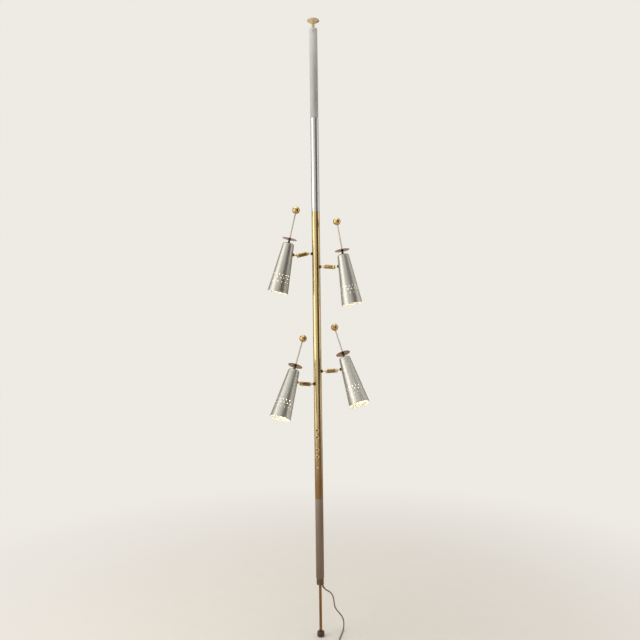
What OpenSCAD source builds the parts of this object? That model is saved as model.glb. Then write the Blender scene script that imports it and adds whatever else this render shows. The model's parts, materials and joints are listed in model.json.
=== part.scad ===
// Tension pole lamp, wedged between floor and ceiling, with four swivelling perforated shades.
// Millimetres. The floor is z = 0, the pole's axis is z, and the front of the lamp faces -y.

/* [Pole] */
// Outside diameter of the pole's tubes
pole_d = 32; // [30:0.5:38]
// Wall of the tubes
pole_wall = 1.5; // [1:0.1:2]
// Length of the reeded tube at the bottom
lower_tube_len = 314; // [300:1:500]
// Length of the brass tube that carries the lamps
brass_tube_len = 1132; // [1100:1:1400]
// Length of the satin tube
middle_tube_len = 371; // [200:1:500]
// Length of the reeded tube at the top
upper_tube_len = 353; // [330:1:500]
// Ribs round a reeded tube
reeds = 32; // [24:1:40]
// Depth of the grooves between the ribs
reed_depth = 0.6; // [0.3:0.1:0.8]
// Length of the sleeve that joins two tubes
joiner_len = 60; // [40:1:80]
// Wall of the sleeve that joins two tubes
joiner_wall = 1.5; // [1:0.1:1.5]

/* [Foot] */
// Diameter of the foot rod
rod_d = 11; // [9:0.5:11]
// Length of the foot rod that shows
rod_out = 186; // [150:1:240]
// Length of the foot rod above the underside of the end plug
rod_in = 124; // [120:1:150]
// Diameter of the collar that keeps the foot rod in
collar_d = 14; // [13:0.5:14.5]
// Height of the collar that keeps the foot rod in
collar_h = 8; // [5:1:12]
// Diameter of the foot cup
foot_d = 29; // [26:0.5:40]
// Height of the foot cup
foot_cup_h = 17; // [15:1:25]
// Thickness of the pad under the foot cup
foot_pad_h = 3; // [2:0.5:6]
// Depth of the foot rod in the foot cup
rod_seat = 9; // [6:1:12]

/* [Plugs in the ends of the pole] */
// Height of the bottom plug that shows under the tube
ferrule_h = 26; // [22:1:40]
// Depth of each plug in its tube
plug_in = 30; // [25:1:40]
// Distance of the cord's hole from the pole's axis
cord_hole_x = 10; // [9.5:0.1:10.5]
// Height of the lower set screw above the underside of the plug
low_screw_up = 14; // [8:1:18]
// Depth of the upper set screw below the top of the pole
top_screw_down = 12; // [8:1:20]
// Diameter of the set screws
set_screw_d = 4; // [3:0.5:5]
// Width and depth of the slots in the screws
screw_slot = 0.8; // [0.6:0.1:1.2]
// Space between the upper set screw and the stem
stem_gap = 2; // [1:0.5:3]

/* [Ceiling end] */
// Diameter of the stem
stem_d = 12.5; // [10:0.5:14]
// Length of the stem that shows
stem_out = 22; // [15:1:30]
// Depth of the stem in the ceiling pad
stem_seat = 4; // [3:0.5:6]
// Length of the stem inside the pole
stem_in = 62; // [60:1:90]
// Diameter of the flange that keeps the stem in
stem_flange_d = 26; // [24:0.5:27]
// Thickness of that flange
stem_flange_h = 3; // [2:0.5:5]
// Diameter of the ceiling pad
ceiling_pad_d = 48.5; // [40:0.5:70]
// Height of the ceiling pad
ceiling_pad_h = 12; // [10:1:20]
// Thickness of the felt on the ceiling pad
felt_h = 2; // [1:0.5:4]
// Diameter of the spring's wire
spring_wire = 2; // [1.6:0.1:2.2]
// Mean diameter of the spring
spring_d = 20; // [16:0.5:22]
// Length of the spring as installed
spring_len = 88; // [80:1:110]
// Turns of the spring
spring_turns = 12; // [8:1:14]
// Thickness of the spring's seat
spring_seat_h = 6; // [4:1:10]

/* [Lamps] */
// Height of the lower left lamp's arm above the foot of the brass tube
lower_left_up = 453; // [430:1:480]
// Height of the lower right lamp's arm
lower_right_up = 502; // [485:1:540]
// Height of the upper right lamp's arm
upper_right_up = 915; // [880:1:940]
// Height of the upper left lamp's arm
upper_left_up = 967; // [945:1:1000]
// Height of the lowest switch above the foot of the brass tube
first_switch_up = 170; // [165:1:200]
// Distance between the two switches of a pair
switch_step = 27; // [24:1:30]
// Distance between the two pairs of switches
switch_pair_gap = 49; // [40:1:60]
// Direction of the switches round the pole
switch_dir = -100; // [-110:1:-80]
// Height of the cord clamp's screw above the foot of the brass tube
clamp_up = 124; // [100:1:140]
// Height of the cord clamp
clamp_h = 12; // [8:1:20]
// Depth of the clamp's screw in the clamp
clamp_screw_in = 6; // [4:0.5:7]
// Diameter of the clamp screw's head
clamp_head_d = 7; // [6:0.5:9]
// Thickness of the clamp screw's head
clamp_head_h = 2; // [1.5:0.1:3]

/* [Arm] */
// Diameter of the balls in the swivels
ball_d = 11; // [10:0.5:11.5]
// Diameter of the necks of the ball studs
neck_d = 5; // [4:0.5:5.5]
// Diameter of the wire's hole through a ball stud
wire_hole_d = 2.4; // [1.5:0.1:3]
// Diameter of the collar of a ball stud
stud_collar_d = 12; // [10:0.5:14]
// Thickness of the collar of a ball stud
stud_collar_h = 6; // [4:0.5:8]
// Length of the neck between the collar and the barrel
neck_len = 10.5; // [9:0.5:16]
// Diameter of the shank of a ball stud
shank_d = 8; // [7:0.5:9]
// Diameter of the barrel
barrel_d = 15.5; // [14.5:0.5:18]
// Diameter of the barrel's end rings
barrel_ring_d = 16.5; // [15.5:0.5:20]
// Length of the barrel over its end rings
barrel_len = 46; // [44:1:70]
// Length of each end ring
barrel_ring_len = 7; // [6.5:0.5:9]
// Wall of the barrel
barrel_wall = 2.1; // [1.5:0.1:2.1]

/* [Shade] */
// Length of the shade along its axis
shade_len = 198; // [190:1:230]
// Diameter of the shade's mouth
shade_mouth_d = 81; // [78:1:100]
// Diameter of the shade's narrow end
shade_top_d = 44; // [42:1:50]
// Radius of the edge of the shade's narrow end
shade_top_r = 7; // [4:0.5:9]
// Wall of the shade
shade_wall = 0.8; // [0.6:0.1:1.2]
// Distance of the stud below the top of the shade
shade_stud_down = 41; // [36:1:60]
// Diameter of the pinholes in the shade
pinhole_d = 3; // [2:0.5:4]
// Pinholes in a row round the shade
pinholes = 16; // [8:1:20]
// Distances of the rows of pinholes below the top of the shade
pinhole_rows = [130, 142, 158]; // [110:1:190]

/* [Bulb and socket] */
// Length of the lampholder
socket_len = 49; // [45:1:52]
// Wall of the lampholder
socket_wall = 1.2; // [1:0.1:1.5]
// Thickness of the lampholder's top
socket_floor = 12; // [11:1:14]
// Diameter of the lampholder's boss
socket_boss_d = 16; // [14:0.5:20]
// Diameter of the bulb's screw cap
bulb_cap_d = 26; // [24:0.5:26.5]
// Length of the bulb's screw cap
bulb_cap_h = 26; // [24:1:28]
// Clearance between the bulb's cap and the lampholder
cap_gap = 0.3; // [0.2:0.1:0.4]
// Diameter of the bulb's glass
bulb_d = 48; // [40:1:50]
// Length of the bulb
bulb_len = 88; // [80:1:95]

/* [Finial] */
// Diameter of the disc over the shade
disc_d = 58; // [50:1:80]
// Thickness of that disc
disc_h = 1.5; // [1:0.1:3]
// Height of the disc above the shade
disc_up = 16; // [12:1:25]
// Diameter of the neck between the shade and the disc
disc_neck_d = 10; // [8:0.5:12]
// Diameter of the finial rod
finial_rod_d = 5.5; // [5:0.1:6]
// Diameter of the finial rod's thread
finial_thread_d = 4; // [3:0.1:4.5]
// Diameter of the finial ball
finial_ball_d = 29.5; // [20:0.5:32]
// Height of the finial ball's middle above the disc
finial_up = 118; // [100:1:130]

/* [Switches] */
// Diameter of a switch knob
knob_d = 15; // [12:0.5:20]
// Height of a switch knob
knob_h = 10; // [7:0.5:14]
// Grooves round a switch knob
knob_grooves = 14; // [8:1:20]
// Diameter of a switch's shaft
switch_shaft_d = 5; // [4:0.5:6]
// Diameter of a switch's threaded neck
switch_neck_d = 9; // [8:0.5:10]
// Diameter of a switch's body
switch_body_d = 14; // [13:0.5:14]
// Depth of a switch's body
switch_body_h = 17; // [14:1:18]
// Thickness of a switch's ring nut
switch_nut_h = 1.9; // [1.5:0.1:3]

/* [Cord] */
// Diameter of the cord
cord_d = 5; // [4.6:0.1:5]
// Space between neighbouring turns and layers of the coil
coil_gap = 0.6; // [0.5:0.1:0.7]
// Width of the tie round the coil
tie_w = 8; // [6:1:10]
// Thickness of the tie
tie_t = 1; // [0.8:0.1:1]
// Width of the plug
plug_w = 26; // [24:1:30]
// Height of the plug
plug_h = 18; // [15:0.5:18]
// Length of the plug's body
plug_len = 25; // [22:1:32]
// Length of the tapered sleeve where the cord enters the plug
sleeve_len = 20; // [20:1:26]
// Length of the plug's blades
blade_len = 17; // [15:1:19]

/* [Fits] */
// Clearance on the radius of a piece that turns, slides or seats in another
fit = 0.05; // [0.03:0.01:0.08]

/* [Hidden] */
LAMPS = ["upper_left", "upper_right", "lower_left", "lower_right"];
LAMP_PARTS = ["pole_stud", "arm_barrel", "shade_stud", "shade", "socket", "bulb", "disc", "finial"];
POLE_PARTS = ["ceiling_pad", "ceiling_pad_felt", "ceiling_stem", "top_plug", "upper_tube", "middle_tube",
    "brass_tube", "lower_tube", "tube_joiners", "bottom_plug", "set_screws", "foot_rod", "foot_cup",
    "foot_pad", "tension_spring", "spring_seat", "switch_bodies", "cord_clamp", "inner_cord",
    "cord_boot", "cord", "cord_coil", "cord_tie", "plug"];
KNOBS = ["switch_knob_1", "switch_knob_2", "switch_knob_3", "switch_knob_4"];

$fn = 64;
eps = 0.01;

pole_r = pole_d / 2;
bore_r = pole_r - pole_wall;
plug_r = bore_r - fit;
rod_r = rod_d / 2;
stem_r = stem_d / 2;
cord_r = cord_d / 2;

// heights above the floor
rod_z = foot_pad_h + foot_cup_h;
plug_z = rod_z + rod_out;
lower_tube_z = plug_z + ferrule_h;
brass_z = lower_tube_z + lower_tube_len;
middle_z = brass_z + brass_tube_len;
upper_z = middle_z + middle_tube_len;
pole_top_z = upper_z + upper_tube_len;
pad_z = pole_top_z + stem_out;
switch_z = [for (up = [0, switch_step, switch_step + switch_pair_gap, 2 * switch_step + switch_pair_gap])
    brass_z + first_switch_up + up];
clamp_z = brass_z + clamp_up;

// each lamp: height and direction of its arm, drop of its barrel, tilts of its shade outwards and forwards
lamp_z = [for (up = [upper_left_up, upper_right_up, lower_left_up, lower_right_up]) brass_z + up];
lamp_dir = [193, -22, 209, -8];
lamp_drop = [13.5, 5, -7.5, -4];
lamp_out = [13, 9.4, 16.5, 17];
lamp_forward = [4.5, 7.5, 22, 23];

// swivels, along the stud from the pole's axis
ball_r = ball_d / 2;
neck_r = neck_d / 2;
shank_r = shank_d / 2;
barrel_ball = barrel_len / 2 - ball_r;
stud_out = pole_r + 2 * fit;
stud_ball = stud_out + stud_collar_h + neck_len + ball_r;
shade_stud_ball = 2 * fit + stud_collar_h + neck_len + ball_r;
lip_angle = 57;

// the shade's cone, with its origin in the middle of its narrow end
slope = (shade_mouth_d - shade_top_d) / 2 / shade_len;
cone_angle = atan(slope);
stud_r = shade_top_d / 2 + slope * shade_stud_down;

function unit(v) = v / norm(v);
function turned_x(v, a) = [v.x, v.y * cos(a) - v.z * sin(a), v.y * sin(a) + v.z * cos(a)];
function turned_y(v, a) = [v.x * cos(a) + v.z * sin(a), v.y, v.z * cos(a) - v.x * sin(a)];
function turned_z(v, a) = [v.x * cos(a) - v.y * sin(a), v.x * sin(a) + v.y * cos(a), v.z];
function side(i) = cos(lamp_dir[i]) < 0 ? 1 : -1;
function pole_ball(i) = turned_z([stud_ball, 0, 0], lamp_dir[i]) + [0, 0, lamp_z[i]];
function shade_ball(i) = pole_ball(i)
    + turned_z(turned_y([2 * barrel_ball, 0, 0], lamp_drop[i]), lamp_dir[i]);
function shade_turned(v, i) =
    turned_y(turned_x(turned_z(v, lamp_dir[i] - 180), -lamp_forward[i]), side(i) * lamp_out[i]);
function shade_origin(i) = shade_ball(i) - shade_turned(
    [stud_r + shade_stud_ball * cos(cone_angle), 0, shade_stud_ball * sin(cone_angle) - shade_stud_down], i);

// ---- shared shapes ----

module tube(r_out, r_in, h) {
    difference() {
        cylinder(r = r_out, h = h);
        translate([0, 0, -eps]) cylinder(r = r_in, h = h + 2 * eps);
    }
}

// a turned piece along x, from a profile of [place along x, radius]
module turned(profile) {
    rotate([0, 90, 0]) rotate_extrude() polygon([for (p = profile) [p[1], p[0]]]);
}

module at_pole(direction, z) {
    translate([0, 0, z]) rotate([0, 0, direction]) children();
}

module at_arm(i) {
    translate(pole_ball(i)) rotate([0, 0, lamp_dir[i]]) rotate([0, lamp_drop[i], 0])
        translate([barrel_ball, 0, 0]) children();
}

module at_shade(i) {
    translate(shade_origin(i)) rotate([0, side(i) * lamp_out[i], 0]) rotate([-lamp_forward[i], 0, 0])
        rotate([0, 0, lamp_dir[i] - 180]) children();
}

// ---- tubes swept along points ----

function way(p, i) = unit(p[min(i + 1, len(p) - 1)] - p[max(i - 1, 0)]);
function square_to(v, t) = unit(v - (v * t) * t);
function sides_of(p) = [for (i = 0, u = square_to([0.6, 0.8, 0.1], way(p, 0)); i < len(p);
    i = i + 1, u = square_to(u, way(p, min(i, len(p) - 1)))) u];

// radii holds the tube's radius at each point
module swept(points, radii, around) {
    u = sides_of(points);
    rings = len(points);
    verts = [for (i = [0 : rings - 1], k = [0 : around - 1])
        points[i] + radii[i] * (cos(360 * k / around) * u[i]
            + sin(360 * k / around) * cross(way(points, i), u[i]))];
    walls = [for (i = [0 : rings - 2], k = [0 : around - 1])
        let (a = i * around + k, b = i * around + (k + 1) % around)
        each [[a, a + around, b], [b, a + around, b + around]]];
    last = (rings - 1) * around;
    ends = [for (k = [1 : around - 2]) each [[0, k, k + 1], [last, last + k + 1, last + k]]];
    polyhedron(points = verts, faces = concat(walls, ends), convexity = 10);
}

function same(points, r) = [for (p = points) r];

// ---- the pole ----

module reeded_tube(h) {
    steps = 6;
    linear_extrude(h) difference() {
        polygon([for (i = [0 : reeds * steps - 1])
            let (r = pole_r - reed_depth * (1 - sin(180 * (i % steps) / steps)), a = 360 * i / reeds / steps)
            [r * cos(a), r * sin(a)]]);
        circle(r = bore_r);
    }
}

module lower_tube() {
    color("#8a7969") translate([0, 0, lower_tube_z]) reeded_tube(lower_tube_len);
}

module middle_tube() {
    color("#c9c9c2") translate([0, 0, middle_z]) tube(pole_r, bore_r, middle_tube_len);
}

module upper_tube() {
    color("#a8a7a2") difference() {
        translate([0, 0, upper_z]) reeded_tube(upper_tube_len);
        at_pole(-90, pole_top_z - top_screw_down) radial_hole(set_screw_d / 2 + fit);
    }
}

// a hole through one wall of a tube, along the turned x axis
module radial_hole(r) {
    past = 4;
    translate([bore_r - past, 0, 0]) rotate([0, 90, 0]) cylinder(r = r, h = pole_wall + 2 * past);
}

module brass_tube() {
    color("#c9a961") difference() {
        translate([0, 0, brass_z]) tube(pole_r, bore_r, brass_tube_len);
        for (i = [0 : 3]) {
            at_pole(lamp_dir[i], lamp_z[i]) radial_hole(shank_r + fit);
            at_pole(switch_dir, switch_z[i]) radial_hole(switch_neck_d / 2 + fit);
        }
        at_pole(switch_dir, clamp_z) radial_hole(set_screw_d / 2 + fit);
    }
}

module tube_joiners() {
    color("silver") for (z = [brass_z, middle_z, upper_z])
        translate([0, 0, z - joiner_len / 2]) tube(plug_r, plug_r - joiner_wall, joiner_len);
}

module bottom_plug() {
    color("#6f5a48") difference() {
        translate([0, 0, plug_z]) cylinder(r = plug_r, h = ferrule_h + plug_in);
        translate([0, 0, plug_z - eps]) cylinder(r = rod_r + fit, h = ferrule_h + plug_in + 2 * eps);
        translate([cord_hole_x, 0, plug_z - eps])
            cylinder(r = cord_r + fit, h = ferrule_h + plug_in + 2 * eps);
        at_pole(-90, plug_z + low_screw_up) rotate([0, 90, 0])
            cylinder(r = set_screw_d / 2 + fit, h = pole_r);
    }
}

module top_plug() {
    color("#b8b8b0") difference() {
        translate([0, 0, pole_top_z - plug_in]) tube(plug_r, stem_r + fit, plug_in);
        at_pole(-90, pole_top_z - top_screw_down) rotate([0, 90, 0])
            cylinder(r = set_screw_d / 2 + fit, h = pole_r);
    }
}

// a headless screw along x, with its slot at the outer end
module slotted_screw(from, to) {
    difference() {
        translate([from, 0, 0]) rotate([0, 90, 0]) cylinder(r = set_screw_d / 2, h = to - from);
        translate([to - screw_slot, -set_screw_d, -screw_slot / 2])
            cube([screw_slot + eps, 2 * set_screw_d, screw_slot]);
    }
}

// the screw that pulls the cord clamp to the wall, along x
module headed_screw() {
    head = pole_r + 2 * fit;
    difference() {
        union() {
            translate([bore_r - clamp_screw_in, 0, 0]) rotate([0, 90, 0])
                cylinder(r = set_screw_d / 2, h = head - bore_r + clamp_screw_in);
            translate([head, 0, 0]) rotate([0, 90, 0]) cylinder(r = clamp_head_d / 2, h = clamp_head_h);
        }
        translate([head + clamp_head_h - screw_slot, -clamp_head_d, -screw_slot / 2])
            cube([screw_slot + eps, 2 * clamp_head_d, screw_slot]);
    }
}

module set_screws() {
    color("#5a5650") {
        at_pole(-90, plug_z + low_screw_up) slotted_screw(rod_r + fit, plug_r);
        at_pole(-90, pole_top_z - top_screw_down) slotted_screw(stem_r + stem_gap, pole_r);
        at_pole(switch_dir, clamp_z) headed_screw();
    }
}

module cord_clamp() {
    color("#3a3632") difference() {
        translate([0, 0, clamp_z - clamp_h / 2]) cylinder(r = plug_r, h = clamp_h);
        translate([cord_hole_x, 0, clamp_z - clamp_h]) cylinder(r = cord_r + fit, h = 2 * clamp_h);
        at_pole(switch_dir, clamp_z) translate([bore_r - clamp_screw_in - fit, 0, 0]) rotate([0, 90, 0])
            cylinder(r = set_screw_d / 2 + fit, h = pole_r);
    }
}

// ---- the foot ----

module foot_rod() {
    bottom = rod_z - rod_seat;
    top = plug_z + rod_in;
    color("#7f5f42") rotate_extrude() polygon([
        [0, bottom], [rod_r - 1, bottom], [rod_r, bottom + 1], [rod_r, top - collar_h],
        [collar_d / 2, top - collar_h], [collar_d / 2, top - 1], [collar_d / 2 - 1, top], [0, top]]);
}

module foot_cup() {
    r = foot_d / 2;
    bottom = foot_pad_h;
    color("#4c3420") rotate_extrude() polygon([
        [0, bottom], [r, bottom], [r, rod_z - 3], [r - 1, rod_z - 1], [r - 3, rod_z], [rod_r + fit, rod_z],
        [rod_r + fit, rod_z - rod_seat - fit], [0, rod_z - rod_seat - fit]]);
}

module foot_pad() {
    r = foot_d / 2;
    color("#8f7a58") rotate_extrude()
        polygon([[0, 0], [r - 1.5, 0], [r - 0.5, 1], [r - 0.5, foot_pad_h], [0, foot_pad_h]]);
}

// ---- the ceiling end ----

module ceiling_stem() {
    bottom = pole_top_z - stem_in;
    top = pad_z + stem_seat;
    color("#c9a961") rotate_extrude() polygon([
        [0, bottom], [stem_flange_d / 2, bottom], [stem_flange_d / 2, bottom + stem_flange_h],
        [stem_r, bottom + stem_flange_h], [stem_r, top - 1], [stem_r - 1, top], [0, top]]);
}

module ceiling_pad() {
    r = ceiling_pad_d / 2;
    hub = stem_r + 1.5;
    top = pad_z + ceiling_pad_h;
    seat = pad_z + stem_seat + fit;
    color("#b8862f") rotate_extrude() polygon([
        [stem_r + fit, pad_z], [hub, pad_z], [r - 4, top - 4], [r, top - 2.5], [r, top],
        [0, top], [0, seat], [stem_r + fit, seat]]);
}

module ceiling_pad_felt() {
    color("#6b5b48") translate([0, 0, pad_z + ceiling_pad_h]) cylinder(r = ceiling_pad_d / 2 - 1, h = felt_h);
}

spring_top = pole_top_z - stem_in;
spring_foot = spring_top - spring_len;

module tension_spring() {
    per_turn = 8;
    rise = spring_len - 2 * fit - spring_wire;
    points = [for (i = [0 : spring_turns * per_turn]) let (a = 360 * i / per_turn)
        [spring_d / 2 * cos(a), spring_d / 2 * sin(a),
            spring_foot + fit + spring_wire / 2 + rise * i / spring_turns / per_turn]];
    color("#777777") swept(points, same(points, spring_wire / 2), 6);
}

module spring_seat() {
    color("#999999") translate([0, 0, spring_foot - spring_seat_h]) cylinder(r = plug_r, h = spring_seat_h);
}

// ---- the switches ----

switch_front = sqrt(bore_r * bore_r - switch_body_d * switch_body_d / 4) - 4 * fit;
nut_face = pole_r + 2 * fit + switch_nut_h;

shaft_in = 5;

module switch_bodies() {
    nut_r = switch_neck_d / 2 + 2;
    shaft_r = switch_shaft_d / 2 + fit;
    shaft_floor = switch_front - shaft_in - 1;
    color("#4a4038") for (z = switch_z) at_pole(switch_dir, z) turned([
        [switch_front - switch_body_h, 0], [switch_front - switch_body_h, switch_body_d / 2],
        [switch_front, switch_body_d / 2], [switch_front, switch_neck_d / 2],
        [pole_r + 2 * fit, switch_neck_d / 2], [pole_r + 2 * fit, nut_r], [nut_face, nut_r],
        [nut_face, shaft_r], [shaft_floor, shaft_r], [shaft_floor, 0]]);
}

module switch_knob(i) {
    knob_face = nut_face + 0.3;
    knob_r = knob_d / 2;
    shaft_r = switch_shaft_d / 2;
    groove_r = 0.9;
    color("#c9a961") at_pole(switch_dir, switch_z[i]) difference() {
        turned([
            [switch_front - shaft_in, 0], [switch_front - shaft_in, shaft_r], [knob_face, shaft_r],
            [knob_face, knob_r - 0.5], [knob_face + 0.5, knob_r], [knob_face + knob_h - 2, knob_r],
            [knob_face + knob_h - 0.6, knob_r - 1], [knob_face + knob_h, knob_r - 2.5],
            [knob_face + knob_h, 0]]);
        for (k = [0 : knob_grooves - 1]) rotate([360 * k / knob_grooves, 0, 0])
            translate([knob_face - 1, knob_r + 0.3, 0]) rotate([0, 90, 0])
                cylinder(r = groove_r, h = knob_h + 2, $fn = 16);
    }
}

// ---- a lamp ----

// the neck and ball of a stud along x, from the collar's outer face to the ball
function stud_end(collar, ball) = let (half = asin(neck_r / ball_r), hole = asin(wire_hole_d / 2 / ball_r))
    concat([[collar, neck_r]],
        [for (k = [0 : 12]) let (a = 180 - half - (180 - half - hole) * k / 12)
            [ball + ball_r * cos(a), ball_r * sin(a)]]);

module ball_stud(flange_in, flange_out, seat, ball) {
    r = stud_collar_d / 2;
    hole = wire_hole_d / 2;
    collar = seat + stud_collar_h;
    turned(concat([
        [flange_in, hole], [flange_in, r], [flange_out, r], [flange_out, shank_r], [seat, shank_r],
        [seat, r], [collar - 1, r], [collar, r - 1]], stud_end(collar, ball)));
}

module pole_stud(i) {
    flange = sqrt(bore_r * bore_r - stud_collar_d * stud_collar_d / 4) - 4 * fit;
    color("#4a3626") at_pole(lamp_dir[i], lamp_z[i]) ball_stud(flange - 2, flange, stud_out, stud_ball);
}

module shade_stud(i) {
    inner_r = stud_r / cos(cone_angle) - shade_wall;
    sag = inner_r - sqrt(inner_r * inner_r - stud_collar_d * stud_collar_d / 4);
    flange = -shade_wall - sag - 4 * fit;
    color("#4a3626") at_shade(i) translate([stud_r, 0, -shade_stud_down]) rotate([0, -cone_angle, 0])
        ball_stud(flange - 2, flange, 2 * fit, shade_stud_ball);
}

// half of the seat for a ball at the origin, open towards +x
module end_ring() {
    seat_r = ball_r + fit;
    inner = barrel_len / 2 - barrel_ball - barrel_ring_len;
    face = barrel_len / 2 - barrel_ball;
    r = barrel_ring_d / 2;
    flare = 32;
    mouth_r = seat_r * sin(lip_angle) + (face - seat_r * cos(lip_angle)) * tan(flare);
    turned(concat(
        [[inner, seat_r], [inner, r - 0.6], [inner + 0.6, r], [face - 1, r], [face, r - 1], [face, mouth_r]],
        [for (k = [0 : 8]) let (a = lip_angle + (90 - lip_angle) * k / 8) seat_r * [cos(a), sin(a)]]));
}

module arm_barrel(i) {
    r = barrel_d / 2;
    seat_r = ball_r + fit;
    tube_half = barrel_len / 2 - barrel_ring_len - fit;
    core_back = 2.5;
    core_half = barrel_ball - core_back;
    core_r = r - barrel_wall - fit;
    wire_r = 2;
    seat_angle = acos(core_back / seat_r);
    floor_angle = asin(wire_r / seat_r);
    seat = [for (k = [0 : 6]) let (a = seat_angle + (floor_angle - seat_angle) * k / 6)
        [barrel_ball - seat_r * cos(a), seat_r * sin(a)]];
    color("#c9a961") at_arm(i) {
        turned([
            [-tube_half, r - barrel_wall], [-tube_half, r], [tube_half, r], [tube_half, r - barrel_wall]]);
        for (a = [0, 180]) rotate([0, 0, a]) translate([barrel_ball, 0, 0]) end_ring();
        turned(concat(
            [[core_half, core_r]], seat,
            [for (k = [6 : -1 : 0]) [-seat[k][0], seat[k][1]]], [[-core_half, core_r]]));
    }
}

// outside and inside of the shade's shell as [radius, height], from the top down
function shell(inset) = let (
        foot_r = shade_top_d / 2 - inset / cos(cone_angle),
        edge_r = shade_top_r - inset,
        c_r = foot_r + slope * shade_top_r - edge_r / cos(cone_angle))
    concat([for (k = [0 : 8]) let (a = 90 + (-90 + cone_angle) * k / 8)
            [c_r + edge_r * cos(a), -shade_top_r + edge_r * sin(a)]],
        [[foot_r + slope * shade_len, -shade_len]]);

module shade(i) {
    outside = shell(0);
    inside = shell(shade_wall);
    past = 5;
    hole = finial_thread_d / 2 + fit;
    top = [[hole, -shade_wall], [hole, 0]];
    color("#b9bab3") at_shade(i) difference() {
        rotate_extrude($fn = 96) polygon(concat(
            top, outside, [for (k = [len(inside) - 1 : -1 : 0]) inside[k]]));
        translate([stud_r, 0, -shade_stud_down]) rotate([0, 90 - cone_angle, 0]) translate([0, 0, -past])
            cylinder(r = shank_r + fit, h = 2 * past);
        for (row = [0 : len(pinhole_rows) - 1], k = [0 : pinholes - 1])
            rotate([0, 0, 360 * (k + (row % 2) / 2) / pinholes])
                translate([shade_top_d / 2 + slope * pinhole_rows[row] - past, 0, -pinhole_rows[row]])
                    rotate([0, 90, 0]) cylinder(r = pinhole_d / 2, h = 2 * past, $fn = 16);
    }
}

module socket(i) {
    r = bulb_cap_d / 2 + cap_gap + socket_wall;
    boss = socket_boss_d / 2;
    thread = finial_thread_d / 2 + fit;
    top = -shade_wall;
    color("#2e2822") at_shade(i) rotate_extrude() polygon([
        [thread, top], [boss, top], [boss, top - 6], [r - 2, top - 8], [r, top - 10], [r, top - socket_len],
        [r - socket_wall, top - socket_len], [r - socket_wall, top - socket_floor],
        [thread, top - socket_floor]]);
}

module bulb(i) {
    top = -shade_wall - socket_floor - cap_gap;
    cap_r = bulb_cap_d / 2;
    glass_r = bulb_d / 2;
    glass_z = top - bulb_len + glass_r;
    neck_z = top - bulb_cap_h - 8;
    start = 50;
    color("#fff3d6") at_shade(i) rotate_extrude() polygon(concat(
        [[0, top], [5, top], [cap_r - 1, top - 5], [cap_r, top - 7], [cap_r, top - bulb_cap_h],
            [cap_r - 0.5, top - bulb_cap_h], [cap_r - 0.5, neck_z]],
        [for (k = [0 : 16]) let (a = start - (start + 90) * k / 16)
            [glass_r * cos(a), glass_z + glass_r * sin(a)]]));
}

module disc(i) {
    r = disc_d / 2;
    hole = finial_thread_d / 2 + fit;
    neck = disc_neck_d / 2;
    color("#8a6a34") at_shade(i) {
        rotate_extrude() polygon([[hole, 0], [neck + 1, 0], [neck, 2], [neck - 1, disc_up / 2],
            [neck, disc_up - 2], [neck + 1, disc_up], [hole, disc_up]]);
        translate([0, 0, disc_up]) rotate_extrude() polygon([
            [hole, 0], [r - 0.5, 0], [r, disc_h / 2], [r - 0.5, disc_h], [hole, disc_h]]);
    }
}

module finial(i) {
    rod = finial_rod_d / 2;
    thread = finial_thread_d / 2;
    shoulder = disc_up + disc_h;
    ball = disc_up + finial_up;
    ball_in = finial_ball_d / 2 - 8;
    seat_z = ball - ball_in;
    start = -acos((rod + fit) / (finial_ball_d / 2));
    color("#d8d4c4") at_shade(i) {
        rotate_extrude() polygon([[0, 2 - shade_wall - socket_floor], [thread, 2 - shade_wall - socket_floor],
            [thread, shoulder], [rod, shoulder], [rod, seat_z], [0, seat_z]]);
        rotate_extrude() polygon(concat(
            [[0, seat_z + fit], [rod + fit, seat_z + fit]],
            [for (k = [0 : 20]) let (a = start + (90 - start) * k / 20)
                [finial_ball_d / 2 * cos(a), ball + finial_ball_d / 2 * sin(a)]]));
    }
}

// ---- the cord ----

boot_points = [[cord_hole_x, 0, plug_z], [cord_hole_x, 0, plug_z - 4], [10.5, 0.5, 197.5], [12.5, 1, 193],
    [16, 2, 188.5]];
cord_points = [[16, 2, 188.5], [19.5, 3, 184], [26.5, 6.5, 178], [34.5, 11, 171.5], [42, 16.5, 163],
    [48, 22, 151.5], [51.5, 28, 139], [53.5, 34.5, 125], [55, 40.5, 111], [57, 46, 97.5], [61.5, 51, 85],
    [68.5, 54.5, 73.5], [77, 57, 62.5], [85, 59.5, 51], [90.5, 61, 38], [93, 60, 25], [92.5, 53.5, 13],
    [90, 42.5, 5.5], [87, 29.5, 2.5], [84, 16.5, 2.5], [81, 3.5, 2.5], [78, -9.5, 2.5], [75, -22.5, 2.5],
    [72.5, -35.5, 2.5], [71, -48.5, 2.5], [71, -61.5, 2.5], [72.5, -74.5, 2.5], [74.5, -87.5, 2.5],
    [75.5, -100.5, 3], [75.9, -110, 3.8], [75.9, -118, 3.8]];
// the spare cord lies in a coil of four layers, on the tie, and the route above ends on its rim
coil_turns = 11.25;
coil_layers = 4;
coil_layer_turns = 3;
coil_pitch = cord_d + coil_gap;
coil_r = 36.9;
coil_z = 3.8;
coil_centre = [39, -124];
coil_tail = [[28, -157.2, 20.6], [17, -157, 20.3], [7, -157, 18.5], [-3, -157, 15], [-13, -157, 11.3],
    [-22, -157, 9.2], [-28, -157, 9], [-34, -157, 9]];

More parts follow.
